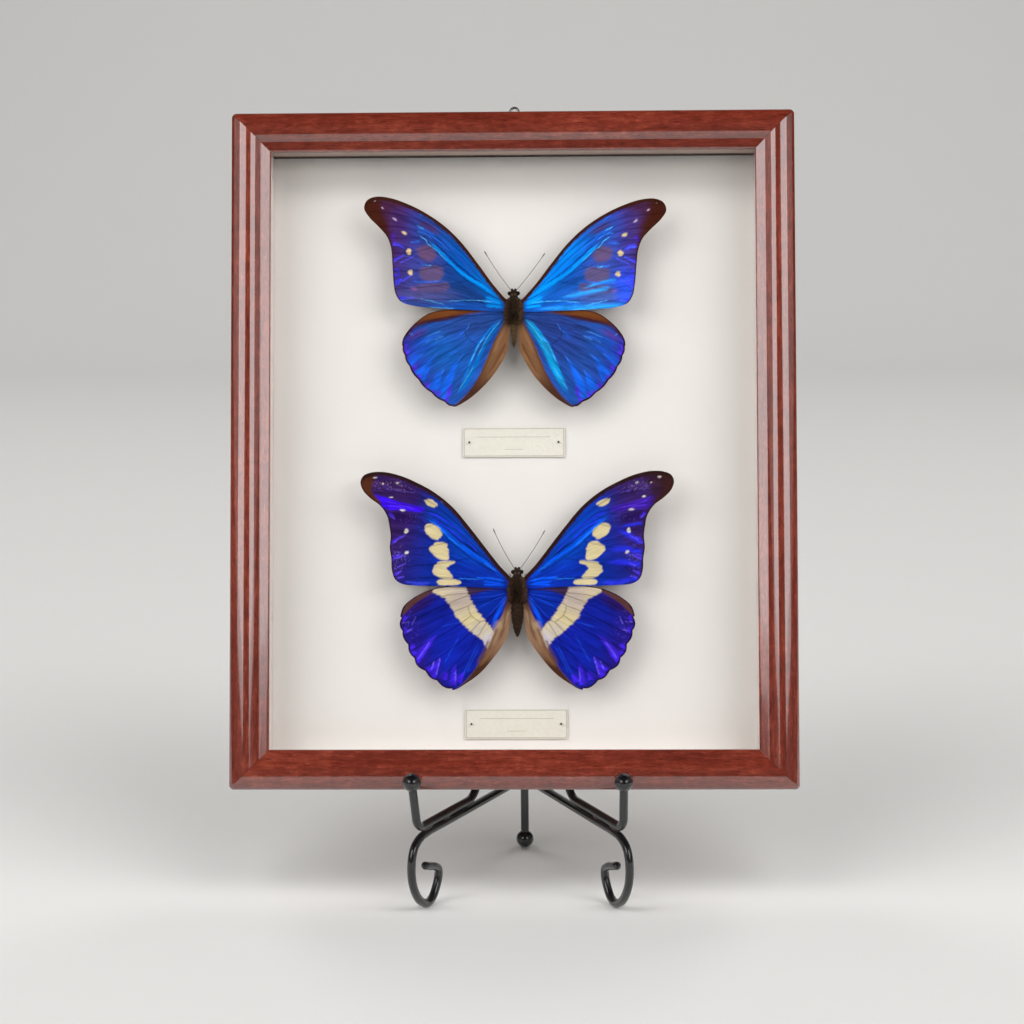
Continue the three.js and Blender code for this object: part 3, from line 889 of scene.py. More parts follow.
@dataclass(frozen=True)
class LabelCard:
    """An ivory card with a fine border and two ruled lines, one long and one short."""

    width: float
    height: float
    border_inset: float = 0.5
    border: float = 0.28

    def material(self) -> bpy.types.Material:
        """The map is in millimetres from the card's middle; lines are bands of that map.

        Returns:
            The finished material.
        """
        n = NodeTree("label_card")
        x, y, _ = n.node("SeparateXYZ", in_Vector=n.chart()).outputs
        x = n.math("ABSOLUTE", x)
        edge_x = n.math("SUBTRACT", self.width / 2 - self.border_inset, x)
        edge_y = n.math("SUBTRACT", self.height / 2 - self.border_inset, n.math("ABSOLUTE", y))
        from_edge = n.math("ABSOLUTE", n.math("MINIMUM", edge_x, edge_y))
        border = n.math("LESS_THAN", from_edge, self.border / 2)
        long_line, short_line = (
            n.math("MULTIPLY",
                   n.math("LESS_THAN", n.math("ABSOLUTE", n.math("SUBTRACT", y, centre)), weight),
                   n.math("LESS_THAN", x, half_length))
            for centre, half_length, weight in ((2.4, 16.5, 0.13), (-3.2, 4.2, 0.11))
        )
        ink = n.math("MAXIMUM", border, n.weighted((n.math("MAXIMUM", long_line, short_line), 0.8)))
        stops = [(0.3, linear(215, 211, 198)), (0.7, linear(224, 220, 208))]
        paper = n.ramp(n.noise(n.coordinates(), 900.0, 4), stops)
        n.surface(Base_Color=n.mix(n.weighted((ink, 0.6)), paper, linear(120, 112, 92)), Roughness=0.85,
                  Normal=n.bump(n.noise(n.coordinates(), 3200.0, 3), 0.4, 0.00003))
        return n.material


class Finishes:
    """The finishes that the sub-assemblies share, each made once."""

    def __init__(self) -> None:
        """Makes the materials."""
        self.mahogany = Mahogany().material()
        self.steel = Metal("zinc_steel", linear(196, 198, 202), 0.3).material()
        self.fur = Fur().material()
        self.pin = Metal("black_pin", linear(40, 38, 38), 0.35).material()
        self.card = LabelCard(*LABEL_SIZE).material()
        self.enamel = BlackEnamel().material()


# ---------------------------------------------------------------------------- picture frame


@dataclass(frozen=True)
class RailPlace:
    """A rail's name, its length and how it is turned about the frame's centre."""

    name: str
    length: float
    turn: float


@dataclass
class Moulding:
    """Four mitred rails with a rounded back edge, a broad roll, a fillet and a sloping sight edge."""

    plane: FramePlane
    finishes: Finishes
    side_edge: float = 4.2
    crest_at: float = 7.9
    arris_at: float = 8.6
    roll_end: Point = (13.0, 2.45)
    slope_end: Point = (16.95, 3.8)
    sight_edge: float = 17.45
    corner: float = 2.0
    mitre_gap: float = 0.05
    grain_shift: float = 1000.0
    places: tuple[RailPlace, ...] = (
        RailPlace("bottom_rail", FRAME_WIDTH, 0.0),
        RailPlace("right_rail", FRAME_HEIGHT, math.pi / 2),
        RailPlace("top_rail", FRAME_WIDTH, math.pi),
        RailPlace("left_rail", FRAME_HEIGHT, -math.pi / 2),
    )

    def section(self) -> Array:
        """The rail's outline: distance inwards from the outer side, and depth behind the crest.

        Returns:
            The outline's points, from the outer side over the crest to the sight edge and round the back.
        """
        sweep = np.linspace(0, np.pi / 2, 22)
        roll_out = np.stack([self.crest_at * (1 - np.cos(sweep)), self.side_edge * (1 - np.sin(sweep))], 1)
        t = np.linspace(0, 1, 16)[:, None]
        start, bend = np.array([self.arris_at, 0.1]), np.array([self.arris_at + 2.7, 0.75])
        end = np.array(self.roll_end)
        roll_in = (1 - t) ** 2 * start + 2 * t * (1 - t) * bend + t**2 * end
        foot = np.array([[13.15, 2.53], [13.3, 2.56]])
        slope = np.linspace([13.45, 2.6], self.slope_end, 6)
        sight = self.sight_edge
        nose = smooth_line(np.array([self.slope_end, (17.27, 4.0), (sight, 4.35), (sight, 4.9)]), 4)[1:]
        back = np.array([
            (sight, LIP_BACK), (REBATE, LIP_BACK), (REBATE, FRAME_DEPTH - 0.4), (REBATE - 0.4, FRAME_DEPTH),
            (0.7, FRAME_DEPTH), (0.2, FRAME_DEPTH - 0.25), (0.0, FRAME_DEPTH - 0.8),
        ])
        side = np.stack([np.zeros(5), np.linspace(FRAME_DEPTH - 8, self.side_edge + 1, 5)], 1)
        return np.vstack([side, roll_out, roll_in, foot, slope, nose, back])

    def rail(self, place: RailPlace) -> None:
        """Builds one rail.

        Each point of the section is carried along the side of a rectangle inset by that point's
        distance inwards. The rectangle's corners are rounded, by a radius that dies away inwards, and
        the run ends at the middle of each corner, where the mitre is.

        Args:
            place: which rail.
        """
        inwards, depth = self.section().T
        radius = 0.04 + (self.corner - 0.04) * np.exp(-((inwards / 2.2) ** 2))
        half = place.length / 2
        angle = np.linspace(np.pi / 4, 0, 7)[:, None]
        corner_x = half - inwards - radius + radius * np.sin(angle)
        corner_y = inwards + radius - radius * np.cos(angle)
        run = np.linspace(1, -1, 13)[1:-1, None]
        run_x = run * (half - inwards - radius)
        across = np.vstack([corner_x, run_x, -corner_x[::-1]]) * (1 - self.mitre_gap / half)
        inset = np.vstack([corner_y, np.broadcast_to(inwards, run_x.shape), corner_y[::-1]])
        local = np.stack([across, inset, np.broadcast_to(-depth, across.shape)], axis=-1)
        girth = along_line(np.stack([inwards, depth], 1))
        along_grain = (across + self.grain_shift * place.turn) * MM
        places = np.stack([along_grain, np.broadcast_to(girth, across.shape) * MM], axis=-1)
        shell = Shell(f"{place.name}_moulding")
        shell.grid(self.plane.world(self.turned(local, place)), places, ring=True, capped=True, flip=True)
        shell.build(self.finishes.mahogany, "mahogany", place.name, crease=28)

    @staticmethod
    def turned(points: Array, place: RailPlace) -> Array:
        """Turns a rail's own axes, whose outer side is at y = 0, about the frame's centre.

        Args:
            points: places on the rail, in its own axes.
            place: which rail it is.

        Returns:
            The same places in the frame's own plane.
        """
        centre = np.array([0.0, FRAME_HEIGHT / 2, 0.0])
        reach = FRAME_HEIGHT / 2 if place.length == FRAME_WIDTH else FRAME_WIDTH / 2
        x, y = points[..., 0], points[..., 1] - reach
        cos, sin = math.cos(place.turn), math.sin(place.turn)
        return np.stack([x * cos - y * sin, x * sin + y * cos, points[..., 2]], axis=-1) + centre

    def build(self) -> None:
        """Builds the four rails."""
        for place in self.places:
            self.rail(place)


@dataclass
class Hanger:
    """A rounded triangle of wire in the barrel of a screwed plate."""

    plane: FramePlane
    finishes: Finishes
    wire: float = 0.6
    apex: float = 311.9
    bar: float = 296.8
    half_base: float = 8.2
    corner: float = 1.7
    level: float = -42.25

    def build(self) -> None:
        """Sweeps the ring's wire round its closed line."""
        corners = np.array([
            (-self.half_base, self.bar, self.level), (self.half_base, self.bar, self.level),
            (0.0, self.apex, self.level),
        ])
        line = bent_line(corners, [self.corner] * 3, 0.16, closed=True)
        ring = swept(line, self.wire, Z_AXIS, 14, closed=True)
        shell = Shell("hanger_ring_wire").grid(self.plane.world(ring), ring=True, loop=True)
        shell.build(self.finishes.steel, "steel", "hanger_ring")


# ---------------------------------------------------------------------------- wings


@dataclass(frozen=True)
class Mark:
    """Anything that colours part of a wing: a screen colour, how strong it is, and where it lies.

    A shimmer, where it is given, takes the place of the one under the mark. A mark may be on the wings
    of only one side: such marks are painted light and shade, brighter or darker colour where the
    wings of one side catch the light differently from the other side's.
    """

    colour: Colour
    strength: float = 1.0
    shimmer: float | None = field(default=None, kw_only=True)
    only: Side | None = field(default=None, kw_only=True)

    def mask(self, x: Array, y: Array) -> Array:
        """How fully the mark covers each point, from 0 to 1."""
        raise NotImplementedError

    def paint(self, x: Array, y: Array, tint: Array) -> None:
        """Lays the mark over the tint, whose fourth channel is the shimmer.

        Args:
            x: the points' first coordinates, of any shape.
            y: the points' second coordinates.
            tint: the tints so far, changed in place.
        """
        share = (self.mask(x, y) * self.strength)[..., None]
        tint[..., :3] += share * (np.array(linear(*self.colour)) - tint[..., :3])
        if self.shimmer is not None:
            tint[..., 3:] += share * (self.shimmer - tint[..., 3:])


@dataclass(frozen=True)
class Spot(Mark):
    """An ellipse: at its middle, with half sizes, a tilt in degrees and a soft rim."""

    at: Point = (0.0, 0.0)
    half: Point = (1.0, 1.0)
    tilt: float = 0.0
    soft: float = 0.25

    def mask(self, x: Array, y: Array) -> Array:
        """Falls from 1 to 0 across the ellipse's rim.

        Args:
            x: the points' first coordinates, of any shape.
            y: the points' second coordinates.

        Returns:
            How strongly the mark covers each point, from 0 to 1.
        """
        cos, sin = math.cos(math.radians(self.tilt)), math.sin(math.radians(self.tilt))
        dx, dy = x - self.at[0], y - self.at[1]
        reach = np.hypot((dx * cos + dy * sin) / self.half[0], (dy * cos - dx * sin) / self.half[1])
        return 1 - ease(reach, 1 - self.soft, 1 + self.soft)


@dataclass(frozen=True)
class Streak(Mark):
    """A brush stroke along a line that fades towards its ends.

    A taper narrows it towards its last point, and a lean makes one flank soft and wide and the other crisp.
    """

    line: Line = ()
    width: float = 0.5
    fade: tuple[float, float] = (0.15, 0.25)
    soft: float = 0.6
    taper: float = 0.0
    lean: float = 0.0

    def mask(self, x: Array, y: Array) -> Array:
        """Falls off sideways from the line and towards both of its ends.

        Args:
            x: the points' first coordinates, of any shape.
            y: the points' second coordinates.

        Returns:
            How strongly the mark covers each point, from 0 to 1.
        """
        line = np.array(self.line)
        smooth = smooth_line(line, 5) if len(line) > 2 else line
        distance, place = line_distance(x, y, smooth)
        ends = ease(place, -0.001, self.fade[0] + 1e-4) * (1 - ease(place, 1 - self.fade[1] - 1e-4, 1.001))
        half = self.width / 2 * (0.45 + 0.55 * ends) * (1 - self.taper * place)
        (from_x, from_y), (to_x, to_y) = line[0], line[-1]
        flank = np.sign((x - from_x) * (to_y - from_y) - (y - from_y) * (to_x - from_x))
        half = half * (1 + self.lean * flank)
        return (1 - ease(distance / half, 1 - self.soft, 1 + self.soft)) * ends


@dataclass(frozen=True)
class Wash(Mark):
    """A slow change from nothing at one point to full at another."""

    start: Point = (0.0, 0.0)
    end: Point = (1.0, 0.0)

    def mask(self, x: Array, y: Array) -> Array:
        """Eases along the direction from start to end.

        Args:
            x: the points' first coordinates, of any shape.
            y: the points' second coordinates.

        Returns:
            How strongly the mark covers each point, from 0 to 1.
        """
        way = np.array(self.end) - np.array(self.start)
        share = ((x - self.start[0]) * way[0] + (y - self.start[1]) * way[1]) / float(way @ way)
        return ease(share, 0.0, 1.0)


@dataclass(frozen=True)
class Region(Mark):
    """All of the wing in front of a line that runs outwards without turning back."""

    line: Line = ()
    soft: float = 0.5

    def mask(self, x: Array, y: Array) -> Array:
        """Compares each point with the line at the same distance outwards.

        Args:
            x: the points' first coordinates, of any shape.
            y: the points' second coordinates.

        Returns:
            How strongly the mark covers each point, from 0 to 1.
        """
        line = smooth_line(np.array(self.line), 6)
        order = np.argsort(line[:, 0])
        return ease(y - np.interp(x, line[order, 0], line[order, 1]), -self.soft, self.soft)


@dataclass(frozen=True)
class Patch(Mark):
    """An area inside a smooth closed line, with a soft rim."""

    outline: Line = ()
    soft: float = 0.4

    def mask(self, x: Array, y: Array) -> Array:
        """Eases across the line, whose inside is found by counting the sides that lie to the right.

        Args:
            x: the points' first coordinates, of any shape.
            y: the points' second coordinates.

        Returns:
            How strongly the mark covers each point, from 0 to 1.
        """
        line = smooth_line(np.array(self.outline), 5, closed=True)
        line = np.vstack([line, line[:1]])
        distance, _ = line_distance(x, y, line)
        inside = np.zeros(x.shape, bool)
        for (ax, ay), (bx, by) in zip(line[:-1], line[1:]):
            if ay != by:
                inside ^= ((ay > y) != (by > y)) & (x < ax + (bx - ax) * (y - ay) / (by - ay))
        return ease(np.where(inside, distance, -distance), -self.soft, self.soft)


@dataclass(frozen=True)
class Specks(Mark):
    """Loose scales: tiny dots scattered inside a soft ellipse."""

    at: Point = (0.0, 0.0)
    half: Point = (1.0, 1.0)
    tilt: float = 0.0
    pitch: float = 0.5
    share: float = 0.3

    def mask(self, x: Array, y: Array) -> Array:
        """Keeps the peaks of a fine noise, fewer towards the ellipse's rim.

        Args:
            x: the points' first coordinates, of any shape.
            y: the points' second coordinates.

        Returns:
            How strongly the mark covers each point, from 0 to 1.
        """
        inside = Spot(self.colour, 1.0, self.at, self.half, self.tilt, 0.6).mask(x, y)
        noise = lattice_noise(x / self.pitch + 60, y / self.pitch + 60, int(self.at[0] * 10))
        return ease(noise, 1 - self.share * inside, 1.08 - self.share * inside) * inside


@dataclass(frozen=True)
class Both(Mark):
    """The overlap of several marks, as one."""

    parts: tuple[Mark, ...] = ()

    def mask(self, x: Array, y: Array) -> Array:
        """Multiplies the parts' masks.

        Args:
            x: the points' first coordinates, of any shape.
            y: the points' second coordinates.

        Returns:
            How strongly the mark covers each point, from 0 to 1.
        """
        share = np.ones_like(x)
        for part in self.parts:
            share = share * part.mask(x, y)
        return share


@dataclass(frozen=True)
class WingShape:
    """A wing's outline and veins.

    The outline starts at the front of the root, follows the front edge to the tip, then the outer
    margin to the rear corner, and the inner edge back to the rear of the root.
    """

    outline: Line
    tip: int
    corner: int
    veins: tuple[Line, ...]
    scallops: tuple[float, float, int, float] = (0.0, 0.0, 0, 0.0)
    steps: tuple[int, int] = (216, 116)

    def edges(self) -> tuple[Array, Array, Array, Array]:
        """Splits the smooth outline into front edge, outer margin, inner edge and root.

        Returns:
            The four lines; front and inner edge run outwards, margin and root from front to back.
        """
        fine = 24
        line = smooth_line(np.array(self.outline), fine, closed=True)
        start, stop, lobes, depth = self.scallops
        if lobes:
            place = np.arange(len(line)) / fine
            inside = (place > start) & (place < stop)
            wave = depth * (1 - np.abs(np.sin(np.pi * lobes * (place - start) / (stop - start))))
            along = unit(np.roll(line, -1, 0) - np.roll(line, 1, 0))
            line = line + (wave * inside)[:, None] * np.stack([along[:, 1], -along[:, 0]], 1)
        last = (len(self.outline) - 1) * fine
        front = line[: self.tip * fine + 1]
        margin = line[self.tip * fine: self.corner * fine + 1]
        inner = line[self.corner * fine: last + 1][::-1]
        root = np.vstack([line[last:], line[:1]])[::-1]
        return front, margin, inner, root

    def surface(self) -> tuple[Array, Array, Array]:
        """Fills the outline with a grid.

        Each point blends the four edges: front and inner edge across the wing, root and margin along
        it, less the blend of the four corners that both hold.

        Returns:
            The points in the wing's plane, and two arrays with the place along and across the wing.
        """
        along, across = self.steps
        front, margin, inner, root = self.edges()
        front, inner = evenly(front, along)[:, None], evenly(inner, along)[:, None]
        margin, root = evenly(margin, across)[None], evenly(root, across)[None]
        u = np.linspace(0, 1, along)[:, None, None]
        v = np.linspace(0, 1, across)[None, :, None]
        front_corners = (1 - u) * front[:1] + u * front[-1:]
        inner_corners = (1 - u) * inner[:1] + u * inner[-1:]
        points = (1 - v) * (front - front_corners) + v * (inner - inner_corners) + (1 - u) * root + u * margin
        shape = points.shape[:2]
        return points, np.broadcast_to(u[..., 0], shape), np.broadcast_to(v[..., 0], shape)


CREAM = (219, 203, 153)

FOREWING_VEINS = (
    ((5, 5.6), (18, 20.5), (30, 32.2), (40, 39.6), (50, 44.6), (60, 48.2), (66, 48.6)),
    ((36, 37), (44, 41), (54, 43.6), (65.5, 44.6)),
    ((5, 5.2), (16, 15.6), (27, 26.4), (36, 33.6), (40.6, 34.8)),
    ((40.6, 34.8), (50, 37.4), (61, 37.8)),
    ((40.6, 33.4), (49, 32.6), (57.4, 32.8)),
    ((36.8, 28.6), (46, 26.2), (56, 25.6)),
    ((29.7, 21), (42, 18.2), (55, 17.4)),
    ((21, 13.6), (36, 11), (54.6, 9.4)),
    ((5.5, 4.8), (15, 9.8), (22.7, 15), (29.7, 21), (36.8, 28.6), (40.6, 33.4)),
    ((5.5, 2.6), (20, 4.6), (36, 5), (51, 4.2)),
)
HINDWING_VEINS = (
    ((4, -1.4), (20, -1.8), (34, -3.6), (47.5, -9.6)),
    ((20, -2.2), (33, -7.6), (50.4, -15.4)),
    ((21.6, -7.6), (34, -12.6), (50, -21)),
    ((20.5, -12), (31, -19.4), (46.5, -27)),
    ((16.6, -15), (27, -25), (41, -34.5)),
    ((12.5, -13.2), (21, -26), (34, -40)),
    ((4, -2.4), (12, -5), (21.6, -7.6), (20.5, -12), (16.6, -15)),
    ((4.2, -3), (9, -9), (12.5, -13.2), (16.6, -15)),
)

UPPER_FOREWING = WingShape(
    outline=(
        (2.5, 4), (5.2, 7.1), (10, 12.8), (17, 22.2), (24, 31), (31.5, 38.2), (40, 44), (48.5, 48.2),
        (56, 50.7), (62.5, 51.3), (66.6, 49.6), (67.9, 46), (65.6, 42), (61, 37.4), (57.4, 33.2),
        (55.5, 28), (54.8, 21), (54.2, 13), (53.2, 7.5), (50.8, 4), (45, 2.1), (34, 1.1), (20, 0.4),
        (8, -0.2), (2.5, 0.5),
    ),
    tip=10, corner=19, veins=FOREWING_VEINS,
)
UPPER_HINDWING = WingShape(
    outline=(
        (1.5, -1), (12, 0.4), (22, 1), (32, 0.6), (38, -0.9), (43, -4.2), (47, -8.2), (49.6, -12.3),
        (50.1, -15.5), (49.2, -20), (47, -25), (43, -31), (37, -37), (31.2, -41), (26.9, -43),
        (21.6, -40.6), (16.6, -36.8), (10.7, -30.7), (6, -24), (2.8, -17.5), (1.9, -11), (1.5, -6),
    ),
    tip=6, corner=14, veins=HINDWING_VEINS, scallops=(8, 14, 6, 0.45), steps=(164, 128),
)
LOWER_FOREWING = WingShape(
    outline=(
        (2, 3.5), (4, 6), (8, 10.3), (14.3, 18.4), (21.2, 27.3), (29, 36.5), (37, 43), (44.5, 47.2),
        (52.5, 50.6), (60, 52.2), (65.5, 51.9), (68.8, 50.4), (70, 47.6), (68.9, 44), (65.8, 40.6),
        (61, 36.9), (58, 32.2), (57, 27.4), (56.5, 23.4), (56.9, 18.3), (56.2, 13.4), (56, 8.6),
        (54.6, 4.3), (51.4, 2.1), (44, 1.3), (30, 1), (16, 0.4), (5.7, -0.1), (2, 0.5),
    ),
    tip=11, corner=22, veins=FOREWING_VEINS,
)
LOWER_HINDWING = WingShape(
    outline=(
        (1.5, -1.5), (12, 0.7), (24, 1.5), (34, 0.7), (41, -1.3), (46.8, -4.4), (50.8, -8), (52.3, -12.5),
        (52.3, -18.2), (50.2, -23.5), (48, -28.8), (45, -34), (40, -38.7), (35.5, -42.2), (29, -45.2),
        (23, -42.3), (16.5, -37.5), (10.2, -30.2), (5, -22.5), (3.2, -16), (2.8, -8),
    ),
    tip=6, corner=14, veins=HINDWING_VEINS, scallops=(7, 14, 6, 0.9), steps=(164, 128),
)


def strokes(colour: Colour, strength: float, *rows: tuple[float, Line], **more: object) -> list[Mark]:
    """Several brush strokes of one colour, each given by its width and its line; bright unless told."""
    return [Streak(colour, strength, line, width, **{"shimmer": 1.0, **more}) for width, line in rows]


def streaks(colour: Colour, width: float, strength: float, *lines: Line, **more: object) -> list[Mark]:
    """Several brush strokes of one colour and width."""
    return strokes(colour, strength, *((width, line) for line in lines), **more)


def wedges(colour: Colour, width: float, strength: float, *lines: Line) -> list[Mark]:
    """Several painted highlights on folds that catch the light, wide at the margin and narrow inwards, each
    with one crisp flank.
    """
    return streaks(colour, width, strength, *lines, fade=(0.04, 0.45), soft=0.95, taper=0.7, lean=0.7)


def spots(colour: Colour, *places: tuple[float, float, float, float, float]) -> list[Mark]:
    """Several hard-edged spots, each given by its middle, its half sizes and its tilt.

    Args:
        colour: the spots' screen colour.
        places: each spot's five measures.

    Returns:
        The spots, in the order given.
    """
    return [
        Spot(colour, 1.0, (x, y), (a, b), tilt, min(0.45, 0.32 / b), shimmer=0.0)
        for x, y, a, b, tilt in places
    ]


def patches(colour: Colour, soft: float, *outlines: Line) -> list[Mark]:
    """Several dull patches of one colour."""
    return [Patch(colour, 1.0, outline, soft, shimmer=0.0) for outline in outlines]


def within(outline: Line, soft: float, *marks: Mark) -> list[Mark]:
    """Keeps marks inside a smooth closed line.

    Args:
        outline: the closed line's points.
        soft: how wide its edge fades.
        marks: the marks to keep inside.

    Returns:
        The marks, each cut by the line.
    """
    return [
        Both(mark.colour, mark.strength, (Patch(mark.colour, 1.0, outline, soft), mark)) for mark in marks
    ]


@dataclass(frozen=True)
class WingPattern:
    """A wing's ground colour, its marks in order, and its dark rims."""

    ground: Colour
    marks: tuple[Mark, ...]
    front_rim: float
    margin_rim: float
    rim_colour: Colour
    vein_shade: float = 0.45
    vein_width: float = 0.24
    # Painted light: a gain on the right wings' shimmering colour, as they catch the light differently from
    # the left.
    right_glow: float = 1.0
    feather: float = 0.9
    wobble: float = 0.3
    ragged: float = 0.35

    def tint(
        self, shape: WingShape, points: Array, u: Array, v: Array, seed: int, side: Side,
    ) -> tuple[Array, Array]:
        """Paints the wing.

        Args:
            shape: the wing's outline and veins.
            points: the grid in the wing's plane.
            u: the place along the wing at each point.
            v: the place across the wing at each point.
            seed: the number that starts the noise.
            side: the wing's side; the right wings get painted light, a little brighter or darker than the
                left.

        Returns:
            The tint with its shimmer, and the distance from each point to the nearest vein.
        """
        x, y = points[..., 0], points[..., 1]
        tint = np.empty((*x.shape, 4))
        tint[..., :3], tint[..., 3] = linear(*self.ground), 1.0
        feather = (lattice_noise(u * 5, v * 70, seed) - 0.5) * self.feather / np.maximum(np.hypot(x, y), 3.0)
        wobble = self.wobble * (lattice_noise(x * 0.9, y * 0.9, seed + 1) - 0.5)
        soft_x, soft_y = x * (1 + feather) + wobble, y * (1 + feather) - wobble
        for mark in self.marks:
            if mark.only in (None, side):
                mark.paint(soft_x, soft_y, tint)
        # Painted light: the right wings' shimmering colour made brighter or darker than the left's.
        if side is Side.RIGHT:
            tint[..., 1:3] *= (1 + (self.right_glow - 1) * tint[..., 3])[..., None]
        fine = (lattice_noise(u * 5, v * 38, seed + 2) + lattice_noise(u * 14, v * 110, seed + 3)
                + 0.5 * lattice_noise(u * 40, v * 260, seed + 5))
        light = 1 + (fine / 2.5 - 0.5) * (0.25 + 0.9 * tint[..., 3])
        tint[..., :3] *= light[..., None]
        vein = np.full(x.shape, 99.0)
        for line in shape.veins:
            vein = np.minimum(vein, line_distance(x, y, smooth_line(np.array(line), 4))[0])
        tint[..., :3] *= (1 - self.vein_shade * np.exp(-((vein / self.vein_width) ** 2)))[..., None]
        front, margin, _, _ = shape.edges()
        ragged = self.ragged * lattice_noise(x * 1.6, y * 1.6, seed + 4)
        for edge, width in ((front, self.front_rim), (margin, self.margin_rim)):
            distance, _ = line_distance(x, y, evenly(edge, 90))
            rim = 1 - ease(distance, width * (0.55 + ragged), width * (1.15 + ragged))
            tint[..., :3] += rim[..., None] * (np.array(linear(*self.rim_colour)) - tint[..., :3])
            tint[..., 3] *= 1 - rim
        return np.clip(tint, 0, None), vein


UPPER_FOLD = (
    (2.2, -1.8), (4.2, -4.8), (7.4, -10.8), (10.3, -17), (12.6, -22.6), (15.2, -28.9), (19.2, -35.4),
    (23.8, -40.2), (27.4, -43.6), (26, -46), (14, -40), (2, -28), (-2, -10),
)
LOWER_FOLD = (
    (2.2, -2.6), (4, -6), (7.2, -12.6), (10.2, -19), (13.2, -26), (16, -31), (19.5, -37), (25, -43),
    (28.2, -45.8), (24, -48), (12, -42), (2, -30), (-2, -10),
)
LOWER_BAND = (
    (37.6, 2.4), (37.4, -1.6), (35, -2.9), (31.6, -5.2), (28.9, -9.3), (26.2, -14), (22.2, -18),
    (18.1, -20.9), (15.2, -23.6), (12.6, -27.6), (9.4, -24), (10.6, -19.6), (11.6, -17.3), (14.1, -14.4),
    (16.8, -11.3), (19.8, -6.6), (21.9, -2.6), (22.9, 0.5), (23, 2.8),
)
LOWER_WEDGE = (
    (64.4, 42), (60, 41), (54.6, 39.4), (47.8, 37.6), (41.6, 35.8), (41.8, 34.8), (49.2, 34.9),
    (58.6, 35.8), (61.6, 38.2),
)
